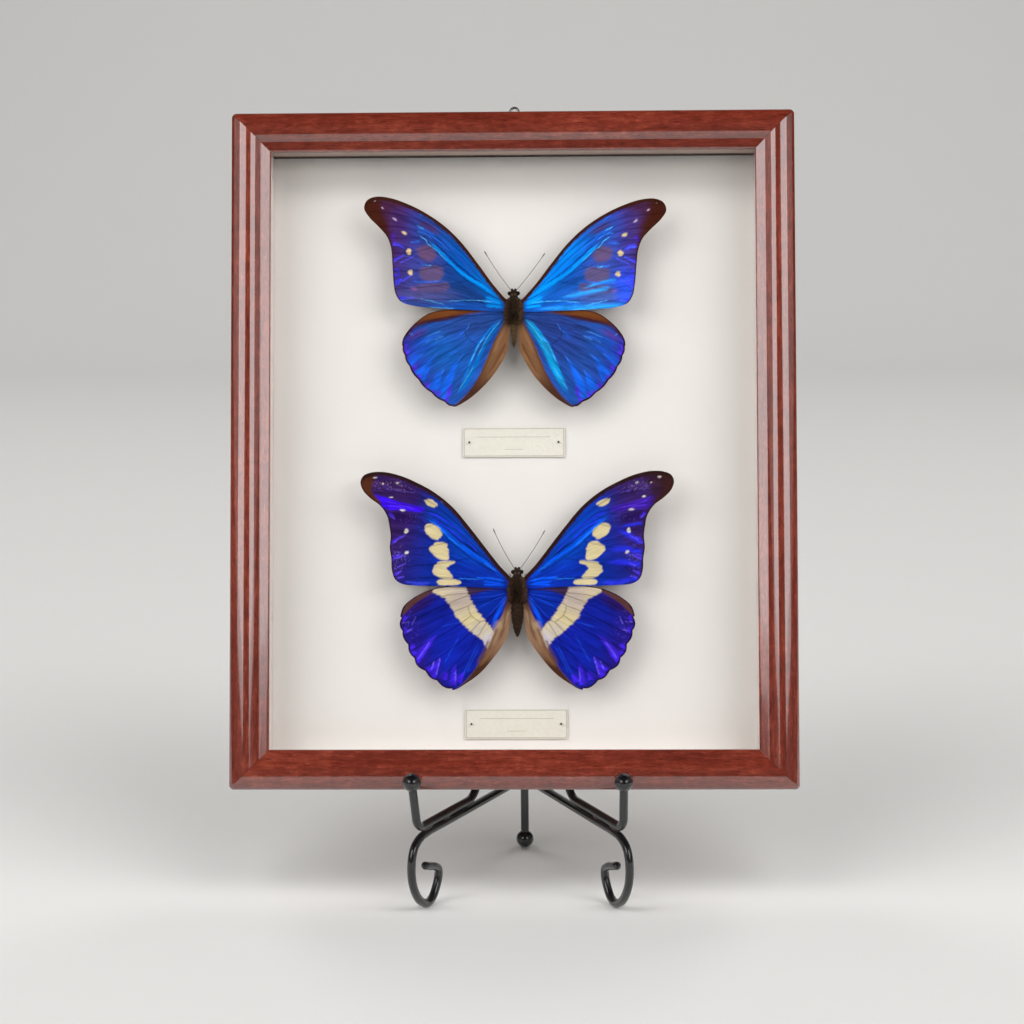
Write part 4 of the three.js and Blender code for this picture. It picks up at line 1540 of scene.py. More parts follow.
UPPER_FOREWING_PATTERN = WingPattern(
    ground=(24, 78, 166), front_rim=1.55, margin_rim=0.5, rim_colour=(58, 26, 12), right_glow=1.5,
    marks=(
        Wash((72, 76, 166), 0.85, (26, 10), (46, 16)),
        Wash((66, 64, 172), 0.8, (38, 30), (52, 36)),
        Wash((80, 45, 106), 0.95, (40, 40), (54, 42)),
        Spot((28, 68, 142), 0.85, (21, 8.5), (13, 4.2), 16, 0.7),
        Spot((24, 74, 158), 0.8, (37, 36), (9, 6), 40, 0.8),
        Spot((2, 100, 205), 0.9, (23, 22.5), (14, 4.6), 47, 0.8),
        Spot((0, 122, 222), 0.9, (12, 10.8), (9, 3), 43, 0.9),
        Spot((30, 96, 205), 0.6, (30, 2.6), (20, 2), 2, 0.8),
        # Painted light: brighter blue on the right forewing only.
        Spot((24, 104, 214), 0.7, (32, 5), (22, 6), 5, 0.8, only=Side.RIGHT),
        Spot((84, 56, 112), 0.8, (38.6, 37.8), (5, 1.6), 30, 0.6),
        Spot((92, 88, 142), 0.7, (39, 7), (12, 3.6), 2, 0.7),
        Patch((108, 78, 112), 0.9,
            ((43.6, 28.4), (39.4, 29.6), (35.6, 26.6), (35.2, 24.6), (37.4, 22.4), (42.8, 24)), 0.9,
            shimmer=0.3),
        Patch((106, 84, 122), 0.9,
            ((42.6, 18.8), (38.6, 20), (33.2, 20), (31.6, 17.6), (33, 14.2), (36, 13), (41.6, 14.4)), 0.9,
            shimmer=0.3),
        Patch((98, 80, 122), 0.85,
            ((45.6, 9.4), (40.6, 12.2), (33, 12.8), (29.4, 12.6), (29.6, 9.6), (37.6, 8.4)), 0.9,
            shimmer=0.3),
        Spot((160, 104, 176), 0.7, (45.2, 9.7), (1.5, 0.8), 10, 0.7),
        *streaks((44, 110, 236), 0.9, 0.75, ((43.8, 43.8), (39, 41.6), (34.6, 38.8)),
            ((39.4, 35.2), (36, 32.9), (28, 26)), ((44, 37.6), (40.6, 36.5), (35, 33.4)),
            ((33.6, 33.4), (24, 23.4), (16, 15.4))),
        # Painted light: a broad azure band on the right forewing only.
        Streak((0, 132, 232), 0.75, ((6, 5.4), (16, 16.8), (26, 27.6), (36, 35.6)), 7.5, shimmer=1,
            only=Side.RIGHT, fade=(0.05, 0.35), soft=0.95),
        # Painted light: bright azure strokes on the right forewing only.
        *strokes((52, 160, 250), 0.85, (1.9, ((7, 1), (25.8, 1.8), (38.6, 2.4), (47.6, 3.2), (50.6, 5.2))),
            (1.7, ((20, 6.2), (25.8, 7.3), (38.6, 9.9), (44, 11.2))),
            (1.1, ((30, 10.2), (40, 13.4), (47, 15))), only=Side.RIGHT, fade=(0.3, 0.12), soft=0.8),
        # Painted light: a brighter blue spot on the right forewing only.
        Spot((48, 84, 246), 0.7, (49.6, 12), (4.4, 7), 0, 0.8, shimmer=1, only=Side.RIGHT),
        Streak((8, 40, 120), 0.7, ((38.4, 32.4), (32.4, 27.4), (25.4, 20.9), (17.4, 14.4), (10, 9.3)), 0.7),
        *streaks((0, 152, 255), 1.35, 1, ((39.5, 32.2), (34.5, 27.6), (29.2, 22.4), (23.8, 17.3),
                (18.5, 13.8), (13.1, 10.6), (7.8, 6.4), (4.8, 4)), ((14, 4.4), (9, 4), (4.8, 3)),
            ((13, 2.6), (8, 2.2), (4.4, 1.8)), ((13, 6.6), (5, 3.6))),
        *streaks((96, 190, 255), 0.36, 0.9, ((39.4, 32.6), (39.6, 31.2), (34, 26.2), (29.6, 21.6)),
            ((44.6, 35.9), (41.6, 35.3), (38.4, 33.6)), ((44.2, 38.5), (42.2, 37.6), (40.4, 36.4)),
            ((31, 4.2), (18, 4.8), (6, 3.9)), ((43.2, 5.4), (36, 3.9), (30.2, 2.3)),
            ((38.5, 1.7), (31, 1.2), (25.2, 1)), ((41.6, 20.6), (36.6, 20.4)), ((43, 34.2), (38.4, 30.6))),
        *streaks((58, 120, 246), 0.6, 0.9, ((44.4, 36), (40, 34.6), (36.6, 31.8)),
            ((42.8, 20.9), (39.6, 20.5)), ((46.6, 13.2), (40, 13), (32, 13.4)), ((48, 2.8), (51.4, 3.6)),
            ((47.4, 30.8), (42, 31.4)), ((51.6, 4.8), (47.2, 5.4))),
        # Painted highlights: folds that catch the light, then thin bright lines along them.
        *wedges((66, 60, 250), 1.5, 0.9, ((55, 21.4), (51.8, 23.6), (48.8, 25.4)),
            ((54.8, 29.4), (51.4, 29.1), (48.6, 27.8)), ((54.6, 10.4), (50.2, 13.2), (46, 16)),
            ((54.4, 12.2), (49.6, 14.8)), ((53, 4.6), (47, 6)), ((54.4, 15.2), (50.4, 15.8)),
            ((54.2, 18.6), (51, 16.2))),
        *streaks((92, 92, 255), 0.4, 0.95, ((54.8, 21.6), (51.8, 23.8), (48.6, 25.6)),
            ((52.4, 21.1), (48.4, 23), (44, 25.6)), ((54.6, 29.4), (51.4, 29.2), (48.8, 27.8)),
            ((54.2, 10.6), (50.2, 13.3), (45.8, 16.2)), ((53.6, 12.4), (49.8, 14.6)),
            ((52.6, 3.4), (48, 5.4), (43, 5.8))),
        Spot((80, 40, 220), 0.7, (54.8, 33.2), (0.9, 1.3), 0, 0.8),
        Patch((72, 30, 44), 0.75,
            ((72, 58), (48, 54), (50, 47.6), (56, 44.6), (56, 38.6), (56, 33), (58, 20), (72, 30)), 2.6,
            shimmer=0),
        Patch((68, 27, 14), 1,
            ((72, 56), (61, 55), (60.6, 49.6), (59.6, 44.4), (57.6, 39.4), (56.2, 33), (57, 20), (72, 30)),
            2.3, shimmer=0),
        Streak((208, 176, 210), 0.95, ((34.2, 39.4), (32.2, 38.2), (30.2, 36.6)), 1, shimmer=0),
        *spots((238, 208, 152), (49.4, 34.9, 1.2, 0.72, 24), (47.6, 26.6, 1.15, 1.3, 0),
            (46.5, 17.1, 1.05, 1.2, 0)),
        *spots((206, 176, 200), (54.1, 41.2, 1, 0.42, 34), (59.7, 46.2, 0.6, 0.3, 30),
            (63.4, 49.4, 0.35, 0.3, 0)),
        Spot((56, 34, 20), 0.95, (2.4, 5), (2.2, 4.4), -35, 0.5, shimmer=0),
    ),
)
UPPER_HINDWING_PATTERN = WingPattern(
    ground=(38, 92, 188), front_rim=0.4, margin_rim=0.75, rim_colour=(50, 18, 24), right_glow=0.98,
    marks=(
        Wash((52, 48, 186), 0.85, (36, -16), (49, -20)),
        Spot((44, 76, 150), 0.8, (19, -5.5), (15, 4.6), -8, 0.7),
        Spot((34, 72, 160), 0.6, (12, -13), (9, 2.4), -60, 0.7),
        Spot((22, 112, 212), 0.6, (30, -19), (11, 6), 28, 0.9),
        # Painted shade: the right hindwing darker here than the left.
        Spot((46, 66, 148), 0.75, (24, -15), (17, 11), -35, 0.8, only=Side.RIGHT),
        Spot((92, 52, 140), 0.7, (43.4, -10.6), (4.4, 1.6), -30, 0.8),
        *streaks((84, 160, 255), 0.42, 0.85, ((25.2, -11.3), (21.4, -8.2), (19.5, -4.8)),
            ((40.5, -12.2), (36, -10), (31.8, -8.6)), ((39.8, -14.2), (35.6, -11.8), (31.6, -10.8)),
            ((35.8, -13.2), (30.6, -10.6)), ((46.2, -24.3), (43, -21), (39.5, -18.5)),
            ((42.5, -27.8), (37.8, -22), (33.2, -18)), ((31.8, -32.6), (27, -25.6), (21.8, -18)),
            ((30, -33.4), (28.6, -29)), ((35.4, -36.4), (33.4, -30.6), (30.8, -25)),
            ((47.4, -9.6), (45, -10.8))),
        # Painted highlights: folds that catch the light, in three groups.
        *wedges((24, 112, 255), 2.8, 0.95, ((47, -25.4), (42.6, -21.4), (38.6, -18)),
            ((42.6, -29.4), (37.6, -23.2), (32.6, -17.4)), ((40.4, -31.4), (36, -23)),
            ((37, -37.4), (34, -31), (30.8, -24.6)), ((34.6, -38.6), (32.8, -31), (31, -24.8)),
            ((30.4, -40.6), (29.4, -33.6), (24.4, -22.6)), ((31.6, -36.6), (27.4, -27.6), (21.4, -17))),
        *wedges((30, 90, 215), 3, 0.6, ((44.6, -15.6), (38.4, -12.8), (29, -10.2)),
            ((46.6, -21.4), (38.6, -16.8), (30.6, -14.4)), ((24.6, -12.6), (21.6, -8.4), (19.4, -4.4))),
        *wedges((92, 56, 250), 2.2, 0.95, ((49, -17.8), (47.2, -14.4)), ((48.4, -20), (45.8, -17.8)),
            ((44.6, -27), (42.8, -23.8)), ((42.2, -30.6), (41.2, -27.8)), ((38.6, -34.8), (36.8, -31.6)),
            ((33.6, -38.6), (32.8, -34.8)), ((29.4, -40.8), (29, -37)), ((28.4, -38), (27.6, -32)),
            ((36, -37.4), (34.8, -34.8))),
        *streaks((0, 120, 218), 1.8, 1, ((4.6, -2.4), (9.2, -8.7), (13.2, -15.4), (16.2, -22), (19.6, -29),
                (24.2, -36.6), (27, -40.6))),
        *streaks((4, 140, 250), 0.85, 0.95,
            ((5.6, -3), (11.8, -9.3), (15.8, -14.8), (18.7, -21.4), (21.4, -28.6), (25, -36))),
        # Painted light: a cyan band on the right hindwing only.
        Streak((16, 186, 252), 0.9,
            ((4.6, -2.4), (9.6, -8.7), (13.8, -15.4), (17.2, -22.6), (20.6, -29.6), (25, -37.6)), 2.9,
            shimmer=1, only=Side.RIGHT),
        *streaks((90, 200, 255), 0.34, 0.9, ((4.8, -3), (9.8, -8.8), (13.9, -15.6), (17, -22.2)),
            ((17.6, -24.2), (21.6, -31), (25.4, -36.8)), ((12, -10.2), (16.4, -16.4), (20.2, -25))),
        Region((108, 58, 26), 1, ((2, 0.6), (10, 0.2), (16, -0.5), (21.8, -1.4), (28.5, -2.7), (34.5, -4),
                (40.5, -5.2), (45.2, -7), (49.5, -10.6)), shimmer=0, soft=0.75),
        Streak((64, 26, 22), 0.85,
            ((16, -0.5), (21.8, -1.5), (28.5, -2.8), (34.5, -4), (40.5, -5.2), (45.2, -7.2), (49, -12)),
            1.7, shimmer=0, fade=(0.35, 0.05)),
        Spot((136, 80, 36), 0.4, (33, -0.2), (11, 1.9), -7, 0.8, shimmer=0),
        Patch((127, 89, 59), 1, UPPER_FOLD, 0.35, shimmer=0),
        *streaks((160, 116, 80), 1.5, 0.5, ((3, -5.6), (7, -13.4), (9, -20)),
            ((4, -18), (9.2, -26), (12.6, -31.6)), shimmer=0, soft=0.95),
        Spot((84, 60, 46), 0.7, (2.6, -4.6), (1.8, 4.2), 25, 0.8, shimmer=0),
        *streaks((82, 46, 28), 1, 0.6,
            ((3.4, -3.6), (8.6, -14), (11.6, -22), (15.4, -29.6), (20, -36.2), (26.6, -42.6)),
            ((3, -13), (7.4, -22), (12.2, -30)), shimmer=0, soft=0.9),
        *within(UPPER_FOLD, 0.35, Wash((66, 34, 24), 0.92, (9, -23), (20, -36))),
        Spot((60, 36, 24), 0.8, (1.5, -2.2), (1.6, 2.6), shimmer=0, soft=0.6),
    ),
)
LOWER_FOREWING_PATTERN = WingPattern(
    ground=(12, 46, 164), front_rim=1.75, margin_rim=0.55, rim_colour=(44, 22, 18), right_glow=1.15,
    marks=(
        Wash((44, 34, 126), 0.9, (34, 18), (52, 22)),
        Spot((4, 76, 196), 0.8, (24, 21), (18, 6.5), 48, 0.8),
        Spot((12, 52, 190), 0.7, (20, 7), (15, 4), 12, 0.8),
        Wash((62, 34, 100), 0.95, (37, 40), (50, 44)),
        Spot((46, 20, 94), 0.9, (53, 31.6), (6.5, 2.6), 8, 0.6),
        # Painted light: the violet patch bright on the left forewing and duller on the right.
        Patch((66, 16, 255), 1, LOWER_WEDGE, 0.6, shimmer=1, only=Side.LEFT),
        Patch((70, 30, 176), 0.8, LOWER_WEDGE, 0.8, shimmer=1, only=Side.RIGHT),
        *streaks((112, 64, 255), 0.4, 0.7, ((60, 39.6), (52, 37.2), (44, 35.4)), ((58, 37), (50, 36.2))),
        Specks((170, 130, 190), 0.5, (56, 46), (11, 3.4), tilt=4, pitch=0.34, share=0.3),
        Specks((120, 90, 220), 0.4, (48, 31), (8, 3.2), tilt=0, pitch=0.34, share=0.24),
        Specks((140, 130, 235), 0.45, (52, 13), (5, 7), tilt=0, pitch=0.34, share=0.26),
        Specks((120, 70, 60), 0.5, (60, 47.5), (8, 3), tilt=4, pitch=0.5, share=0.3),
        *streaks((96, 74, 190), 0.3, 0.8, ((60.6, 44.8), (52, 43.6), (42.8, 42.6)),
            ((62, 46.2), (56, 45.4))),
        Streak((8, 18, 96), 0.8, ((40.6, 33.4), (34, 29.4), (27.8, 23.6), (20, 17.4), (12, 11.2)), 0.8),
        *streaks((4, 96, 252), 1.6, 1, ((41.4, 33.4), (37, 29.4), (33, 25.6), (27.6, 20.9), (22.2, 16.9),
                (16.1, 12.8), (10.7, 8.7), (5.6, 4.8))),
        *streaks((40, 62, 250), 0.8, 0.9, ((41.2, 34.4), (34.3, 31.9), (27.6, 27.2), (21.6, 22)),
            ((23.5, 23.2), (17.4, 16)), ((38.4, 31.8), (30, 26.2), (22, 19))),
        *streaks((40, 132, 255), 0.45, 0.95, ((40.2, 31.6), (35, 27.2), (29, 21.6), (22.6, 16.6)),
            ((15, 11.6), (9, 7.2)), ((19, 4.9), (10, 4.5), (5, 3.2)), ((27, 4.6), (14, 4))),
        *streaks((4, 88, 255), 0.95, 0.95, ((18.2, 4.8), (11, 4.2), (4.7, 2.8)),
            ((15.5, 1.5), (9, 1.8), (4.6, 1.6)), ((16, 3.2), (6, 2.2)), ((10.6, 7.6), (5.2, 4.4))),
        *streaks((64, 80, 245), 0.8, 0.8, ((51, 3), (44, 2.6), (37, 2.6)), ((48, 1.8), (40, 1.6))),
        # Painted highlights: folds that catch the light.
        *wedges((84, 50, 240), 1.6, 0.9, ((56.8, 19.4), (52.6, 22.2), (49.2, 24.6)),
            ((56.6, 12.4), (52.8, 13.8), (49.4, 15.6)), ((55.6, 5), (51, 8.2)), ((57.6, 33), (54, 31))),
        # Painted light: brighter blue strokes on the right forewing only.
        *strokes((44, 52, 240), 0.85, (2, ((42, 27.4), (48, 24.6), (55.6, 20.2))),
            (1.2, ((44.6, 27), (50, 28), (56, 28.8))), (2.2, ((38.8, 16.8), (48, 17.6), (56, 15.6))),
            (2.4, ((37.6, 10.8), (46, 11.4), (55.6, 10))), (1.6, ((35, 2.2), (44, 2.6), (54, 4.6))),
            only=Side.RIGHT, fade=(0.4, 0.05), soft=0.9),
        # Painted highlights: thin bright lines along the folds above.
        *streaks((112, 84, 255), 0.42, 0.95, ((56.2, 19.8), (52.6, 22.2), (49.5, 24.4)),
            ((55.8, 12.8), (52.8, 13.8), (49.8, 15.4)), ((56, 14.4), (52, 15.2)), ((54.6, 6.4), (51, 8.2)),
            ((55, 8.8), (49.4, 11.4)), ((53.6, 4.6), (50, 5.6)), ((57, 32.6), (54.4, 31))),
        Patch((84, 42, 22), 1,
            ((72, 54), (64.6, 53.4), (64.4, 48), (64.8, 43.6), (62, 40), (60, 34), (72, 36)), 0.7,
            shimmer=0),
        # Painted shade: the right forewing's apex darker than the left's.
        Patch((50, 24, 28), 0.85, ((74, 56), (61, 55), (57, 50), (59, 45), (60, 40), (60, 34), (74, 36)),
            2.6, shimmer=0, only=Side.RIGHT),
        *patches(CREAM, 0.32,
            ((41.4, 39.7), (39.1, 39.9), (37, 38.9), (35.5, 37.5), (37, 36.5), (39.1, 36.8), (40.7, 38)),
            ((41.4, 27.6), (39.7, 29), (37, 28.5), (35, 27), (33.5, 24.6), (34, 22.9), (36.4, 21.9),
                (39.1, 23.3), (41.1, 25.6)), ((39.3, 17.6), (37.7, 19.6), (34.3, 20.9), (31.6, 20),
                (30.7, 16.9), (31, 13), (33.7, 12.8), (36, 13.8), (38, 15.6)), ((38, 8.2), (37, 10.2),
                (35, 11.9), (31.6, 12.3), (28.3, 12.3), (28, 11.5), (30.3, 10.3), (31.7, 9), (30.3, 7.2),
                (28.6, 4.8), (31.6, 4.4), (35, 4.9), (37, 6.3)),
            ((35.8, 3.4), (33, 4.1), (27.6, 4), (25.2, 3.1), (25.6, 1.9), (30.3, 1.5), (35, 1.9))),
        Streak((208, 188, 214), 0.9, ((34, 39.1), (32.4, 38.6), (30.8, 37.9)), 1, shimmer=0),
        *spots((232, 222, 206), (49.7, 25.7, 0.85, 1.15, 0), (49.1, 16.1, 0.8, 0.7, 0),
            (51.2, 35.1, 1.15, 0.5, 0), (56.5, 40.8, 0.75, 0.4, 0), (63.7, 49.7, 0.8, 0.4, 0),
            (53.4, 47, 0.6, 0.45, 0), (60, 47.1, 0.4, 0.3, 0)),
        Spot((44, 28, 20), 0.95, (2.4, 4.6), (2, 4.4), -35, 0.5, shimmer=0),
    ),
)
LOWER_HINDWING_PATTERN = WingPattern(
    ground=(17, 34, 162), front_rim=0.4, margin_rim=0.7, rim_colour=(36, 14, 52), vein_shade=0.5,
    marks=(
        Wash((44, 24, 134), 0.8, (36, -16), (50, -22)),
        Spot((18, 40, 190), 0.8, (27, -23), (13, 7), -55, 0.8),
        Spot((48, 24, 104), 0.85, (44, -7.4), (8, 2.4), -30, 0.7),
        Spot((4, 48, 168), 0.85, (14, -6.5), (10, 4.6), -40, 0.8),
        *streaks((6, 90, 255), 1.7, 1, ((4.4, -2.6), (7.4, -8.3), (10.4, -15), (11.6, -18.6))),
        *streaks((22, 74, 226), 0.5, 0.8, ((4.4, -2), (12, -3.6), (20.6, -4.4)),
            ((4.4, -2.4), (13, -6.4), (19.4, -9.4)), ((4.8, -3.4), (10, -9), (14.4, -13.4)),
            ((4.6, -1.4), (12, -1.6), (18, -2)), ((33, -34), (28.6, -26), (24.9, -19.4)),
            ((25.6, -40.8), (22.2, -34.1), (16.8, -22.9)), ((23, -38.4), (19.6, -31), (16, -24.6)),
            ((34.6, -17.4), (28, -15.6), (24.4, -15))),
        # Painted highlights: folds that catch the light, then thin bright lines along them.
        *wedges((76, 40, 252), 2.8, 0.95, ((44.6, -33.6), (41.1, -27.4), (34.3, -18.8)),
            ((43, -31), (38, -24)), ((37.2, -40.6), (35.4, -35.6), (33.7, -28.4)),
            ((38.6, -37.4), (36.2, -33.4)), ((32, -41), (30.8, -36)),
            ((27.8, -43.4), (27.6, -37), (27.2, -31.6)), ((25.4, -42.4), (23.6, -37)),
            ((51, -14.6), (48.6, -12.4)), ((51.2, -20.2), (47.6, -17.6)), ((48, -27), (44.4, -25.6)),
            ((46.8, -30), (44, -28.6))),
        *streaks((132, 110, 255), 0.4, 0.9, ((44.8, -32), (41, -26.4), (38, -22.4)),
            ((36.6, -39.4), (35, -33.6), (34, -29.6)), ((51.8, -15.2), (47.6, -14.8)),
            ((47, -16.4), (45.2, -12)), ((27.8, -42), (27.6, -36)), ((38.6, -36.4), (36.6, -31.6)),
            ((49.6, -19.6), (46.8, -18))),
        Region((92, 56, 34), 0.95, ((2, 2.6), (24, 1.6), (36, -1.2), (42, -4.2), (47, -7.8), (51.4, -12.4)),
            shimmer=0, soft=0.8),
        Patch((70, 44, 38), 0.85, ((24, 2.4), (8, 1.6), (7, 0), (14, -0.8), (19, -2.4), (23, -3.4)), 0.8,
            shimmer=0.1),
        Patch((60, 44, 120), 0.6, LOWER_BAND, 1.8, shimmer=0.2),
        Patch(CREAM, 0.98, LOWER_BAND, 0.5, shimmer=0),
        *within(LOWER_BAND, 0.5, Spot((182, 166, 160), 0.85, (25, -4.4), (7.6, 5.6), -40, 0.8),
            Spot((196, 186, 186), 0.6, (17, -18.6), (4, 3.6), -40, 0.8),
            Spot((200, 182, 166), 0.7, (30, 0.2), (9, 2.6), 4, 0.8),
            Spot((196, 196, 226), 0.8, (12.6, -23.4), (2.6, 4.4), 30, 0.8)),
        Patch((144, 110, 84), 1, LOWER_FOLD, 0.45, shimmer=0),
        *strokes((200, 172, 136), 0.5, (2.6, ((7.6, -13.6), (9.6, -18), (11.6, -23), (13.4, -27.6))),
            (1.6, ((4, -9), (6, -15), (7.4, -19.6))), shimmer=0, soft=0.95),
        Spot((84, 52, 36), 0.75, (3.4, -5.6), (1.8, 4.2), 25, 0.8, shimmer=0),
        *streaks((96, 62, 40), 1.2, 0.7, ((3.4, -4.6), (5.4, -12), (6.6, -19), (9.4, -25)),
            ((12.4, -22), (14.8, -27.6), (19, -34.6)), ((8.6, -17), (11, -23), (13, -29)), shimmer=0,
            soft=0.9),
        *within(LOWER_FOLD, 0.45, Wash((66, 34, 20), 0.95, (10, -23), (18, -33))),
        Specks((100, 80, 225), 0.45, (47, -17), (5, 8), tilt=0, pitch=0.34, share=0.26),
        Streak((140, 100, 66), 0.6, ((9.6, -24), (13, -29.6), (18, -36)), 1.6, shimmer=0, soft=0.9),
        Spot((52, 32, 22), 0.8, (1.6, -2.6), (1.6, 2.8), shimmer=0, soft=0.6),
    ),
)


def dull(colour: Colour) -> Array:
    """A tint without any shimmer."""
    return np.array([*colour, 0.0])


@dataclass(frozen=True)
class Trunk:
    """An insect's body.

    The thorax is its half width, half length, half height and place along the body; the abdomen its
    radius and the place of its tip; the head its size and place; the feelers the left and right tips.
    """

    thorax: tuple[float, float, float, float]
    abdomen: Point
    head: Point
    feelers: tuple[Point, Point]
    fur: Colour
    tail: Colour
    flank: Colour = linear(86, 63, 48)


@dataclass
class Butterfly:
    """One insect: four wings, a furred body with legs and feelers, and its pin."""

    plane: FramePlane
    finishes: Finishes
    name: str
    centre: Point
    turn: float
    trunk: Trunk
    forewing: tuple[WingShape, WingPattern]
    hindwing: tuple[WingShape, WingPattern]
    scales: bpy.types.Material
    seed: int
    level: float = -12.9
    forewing_top: float = -12.3
    hindwing_top: float = -13.05
    thickness: float = 0.3
    vein_ridge: float = 0.1
    sag: float = 0.07
    wave: float = 0.16
    ripple: float = 0.1
    lift: float = 1.0
    half_span: float = 68.0
    size: float = 0.994
    pin: tuple[float, float, float, float] = (-2.2, 0.26, -9.15, -26.3)

    def placed(self, points: Array) -> Array:
        """Puts points of the insect's own axes, with heights from the crest, into place."""
        scaled = points * np.array([self.size, self.size, 1.0])
        return self.plane.world(scaled + np.array([*self.centre, 0.0]))

    def wing(self, side: Side, front: bool) -> None:
        """Builds one wing as a thin closed sheet.

        The sheet lifts with the square of the distance outwards. Veins stand up as low ridges, the
        membrane sags a little between them, and slow waves run across it.

        Args:
            side: the wing's side.
            front: whether it is a forewing.
        """
        shape, pattern = self.forewing if front else self.hindwing
        kind = "forewing" if front else "hindwing"
        points, u, v = shape.surface()
        seed = self.seed + (10 if front else 20) + (side is Side.RIGHT)
        tint, vein = pattern.tint(shape, points, u, v, seed, side)
        angle = self.turn * (1.0 if front else 0.5) * -side
        cos, sin = math.cos(angle), math.sin(angle)
        x = side * (points[..., 0] * cos - points[..., 1] * sin)
        y = points[..., 0] * sin + points[..., 1] * cos
        calm = np.minimum(ease(u, 0.0, 0.2), 1 - ease(u, 0.9, 1.0))
        calm = calm * np.minimum(ease(v, 0, 0.08), 1 - ease(v, 0.92, 1))
        ridges = self.vein_ridge * np.exp(-((vein / 0.3) ** 2)) - self.sag * ease(vein, 0.6, 3.0)
        waves = self.wave * np.sin(v * 15 + u * 3 + side) * ease(u, 0.3, 0.9)
        waves = waves + self.ripple * (lattice_noise(u * 9, v * 9, seed + 6) - 0.5)
        top = (self.forewing_top if front else self.hindwing_top) + self.lift * (x / self.half_span) ** 2
        height = top - 0.1 + calm * (ridges + waves)
        upper = self.placed(np.stack([x, y, height], -1))
        lower = self.placed(np.stack([x, y, height - self.thickness * (0.3 + 0.7 * calm)], -1))
        places = np.stack([u * 0.07, v * 0.045], -1)
        under = tint.copy()
        under[..., :3] = under[..., :3] * 0.25 + np.array(linear(92, 66, 44)) * 0.75
        under[..., 3] = 0.0
        node = f"{self.name}_{side.word}_{kind}"
        right = side is Side.RIGHT
        shell = Shell(f"{node}_scales").grid(upper, places, tint, flip=right)
        shell.grid(lower, places, under, flip=not right)
        shell.grid(rim(upper, lower), None, rim(under, under), ring=True, flip=not right)
        shell.build(self.scales, f"{self.name}_wings", node, crease=80)

    def widths(self, y: Array) -> tuple[Array, Array]:
        """The trunk's half width and half height at each place along it.

        The thorax is a box with round ends; the abdomen swells from the waist and closes to a point,
        with a faint bulge for each ring. The larger of the two is kept, with a soft join.

        Args:
            y: places along the trunk.

        Returns:
            Half width and half height.
        """
        half_width, half_length, half_height, at = self.trunk.thorax
        radius, tip = self.trunk.abdomen
        chest = np.clip(1 - np.abs((y - at) / half_length) ** 2.6, 0, 1) ** 0.45
        waist = at - half_length * 0.6
        share = np.clip((y - tip) / (waist - tip), 0, 1.06)
        places = [0, 0.03, 0.2, 0.38, 0.56, 0.75, 1, 1.06]
        swell = np.interp(share, places, [0.05, 0.22, 0.6, 0.82, 0.95, 1, 0.85, 0.0])
        swell = swell * (1 + 0.045 * np.cos(2 * np.pi * 8 * share))
        wide = ((half_width * chest) ** 4 + (radius * swell) ** 4) ** 0.25
        high = ((half_height * chest) ** 4 + (radius * 0.95 * swell) ** 4) ** 0.25
        return wide + SMALL, high + SMALL

    def body(self) -> None:
        """Builds the furred body with eyes, mouth parts, legs and feelers."""
        trunk = self.trunk
        half_width, half_length, half_height, at = trunk.thorax
        y = np.linspace(trunk.abdomen[1], at + half_length, 150)
        wide, high = self.widths(y)
        angle = np.linspace(0, 2 * np.pi, 40, endpoint=False)
        points = np.stack([
            wide[:, None] * np.cos(angle), np.broadcast_to(y[:, None], (len(y), len(angle))),
            self.level + high[:, None] * np.sin(angle),
        ], -1)
        fur, tail = dull(trunk.fur), dull(trunk.tail)
        share = ease(y, at - half_length * 0.95, at - half_length * 0.55)[:, None, None]
        rings = 1 - 0.45 * (0.5 + 0.5 * np.cos((y - trunk.abdomen[1]) * 3.4))[:, None, None] * (1 - share)
        flank = 1 + 0.9 * ease(np.abs(np.cos(angle)), 0.62, 0.95)[None, :, None] * share
        shade = (tail * (1 - share) + fur * share) * rings * flank
        shell = Shell(f"{self.name}_body_fur").tube(self.placed(points), shade)
        self.face(shell)
        for side in Side:
            for back, out, long in ((0.4, 0.88, 2.4), (-0.05, 1.12, 2.2), (-0.5, 1.02, 2.0)):
                tuft = (side * half_width * out, at + half_length * back, 0.5)
                self.add_ball(shell, tuft, (1.5, long, 1.5), trunk.flank)
            self.limbs(shell, side)
        self.hairs(shell)
        shell.build(self.finishes.fur, "body_fur", f"{self.name}_body", crease=60)

    def face(self, shell: Shell) -> None:
        """Adds the skull, the eyes, the mouth parts and two pale tufts.

        Args:
            shell: the body that the lumps are added to.
        """
        size, at = self.trunk.head
        skull, eye, pale = linear(46, 36, 29), linear(30, 22, 18), linear(104, 82, 64)
        self.add_ball(shell, (0, at, 0), (size * 0.86, size * 0.78, size * 0.8), skull)
        self.add_ball(shell, (0, at - size * 0.75, 0), (size * 0.86, size * 0.7, size * 0.8), skull)
        for side in Side:
            for centre, radii, colour in (
                ((size * 0.84, 0.2, 0.3), (0.8, 0.95, 0.95), eye),
                ((0.72, size * 0.72, 0.5), (0.62, 0.72, 0.62), skull),
                ((0.75, -size * 0.2, size * 0.66), (0.45, 0.5, 0.45), pale),
            ):
                x, y, z = centre
                self.add_ball(shell, (side * x, at + y, z), radii, colour)

    def add_ball(self, shell: Shell, centre: Triple, radii: Triple, colour: Colour) -> None:
        """Adds an ellipsoid of one colour, its height measured from the trunk's axis."""
        grid = ball(np.array(centre) + np.array([0, 0, self.level]), radii, 24)
        shell.lump(self.placed(grid), np.broadcast_to(dull(colour), (*grid.shape[:2], 4)))

    def add_tube(self, shell: Shell, line: Array, thick: Array, upright: Array) -> None:
        """Adds a dark limb along a line."""
        grid = self.placed(swept(line, thick, upright, 8))
        shell.tube(grid, np.broadcast_to(dull(linear(84, 70, 58)), (*grid.shape[:2], 4)))

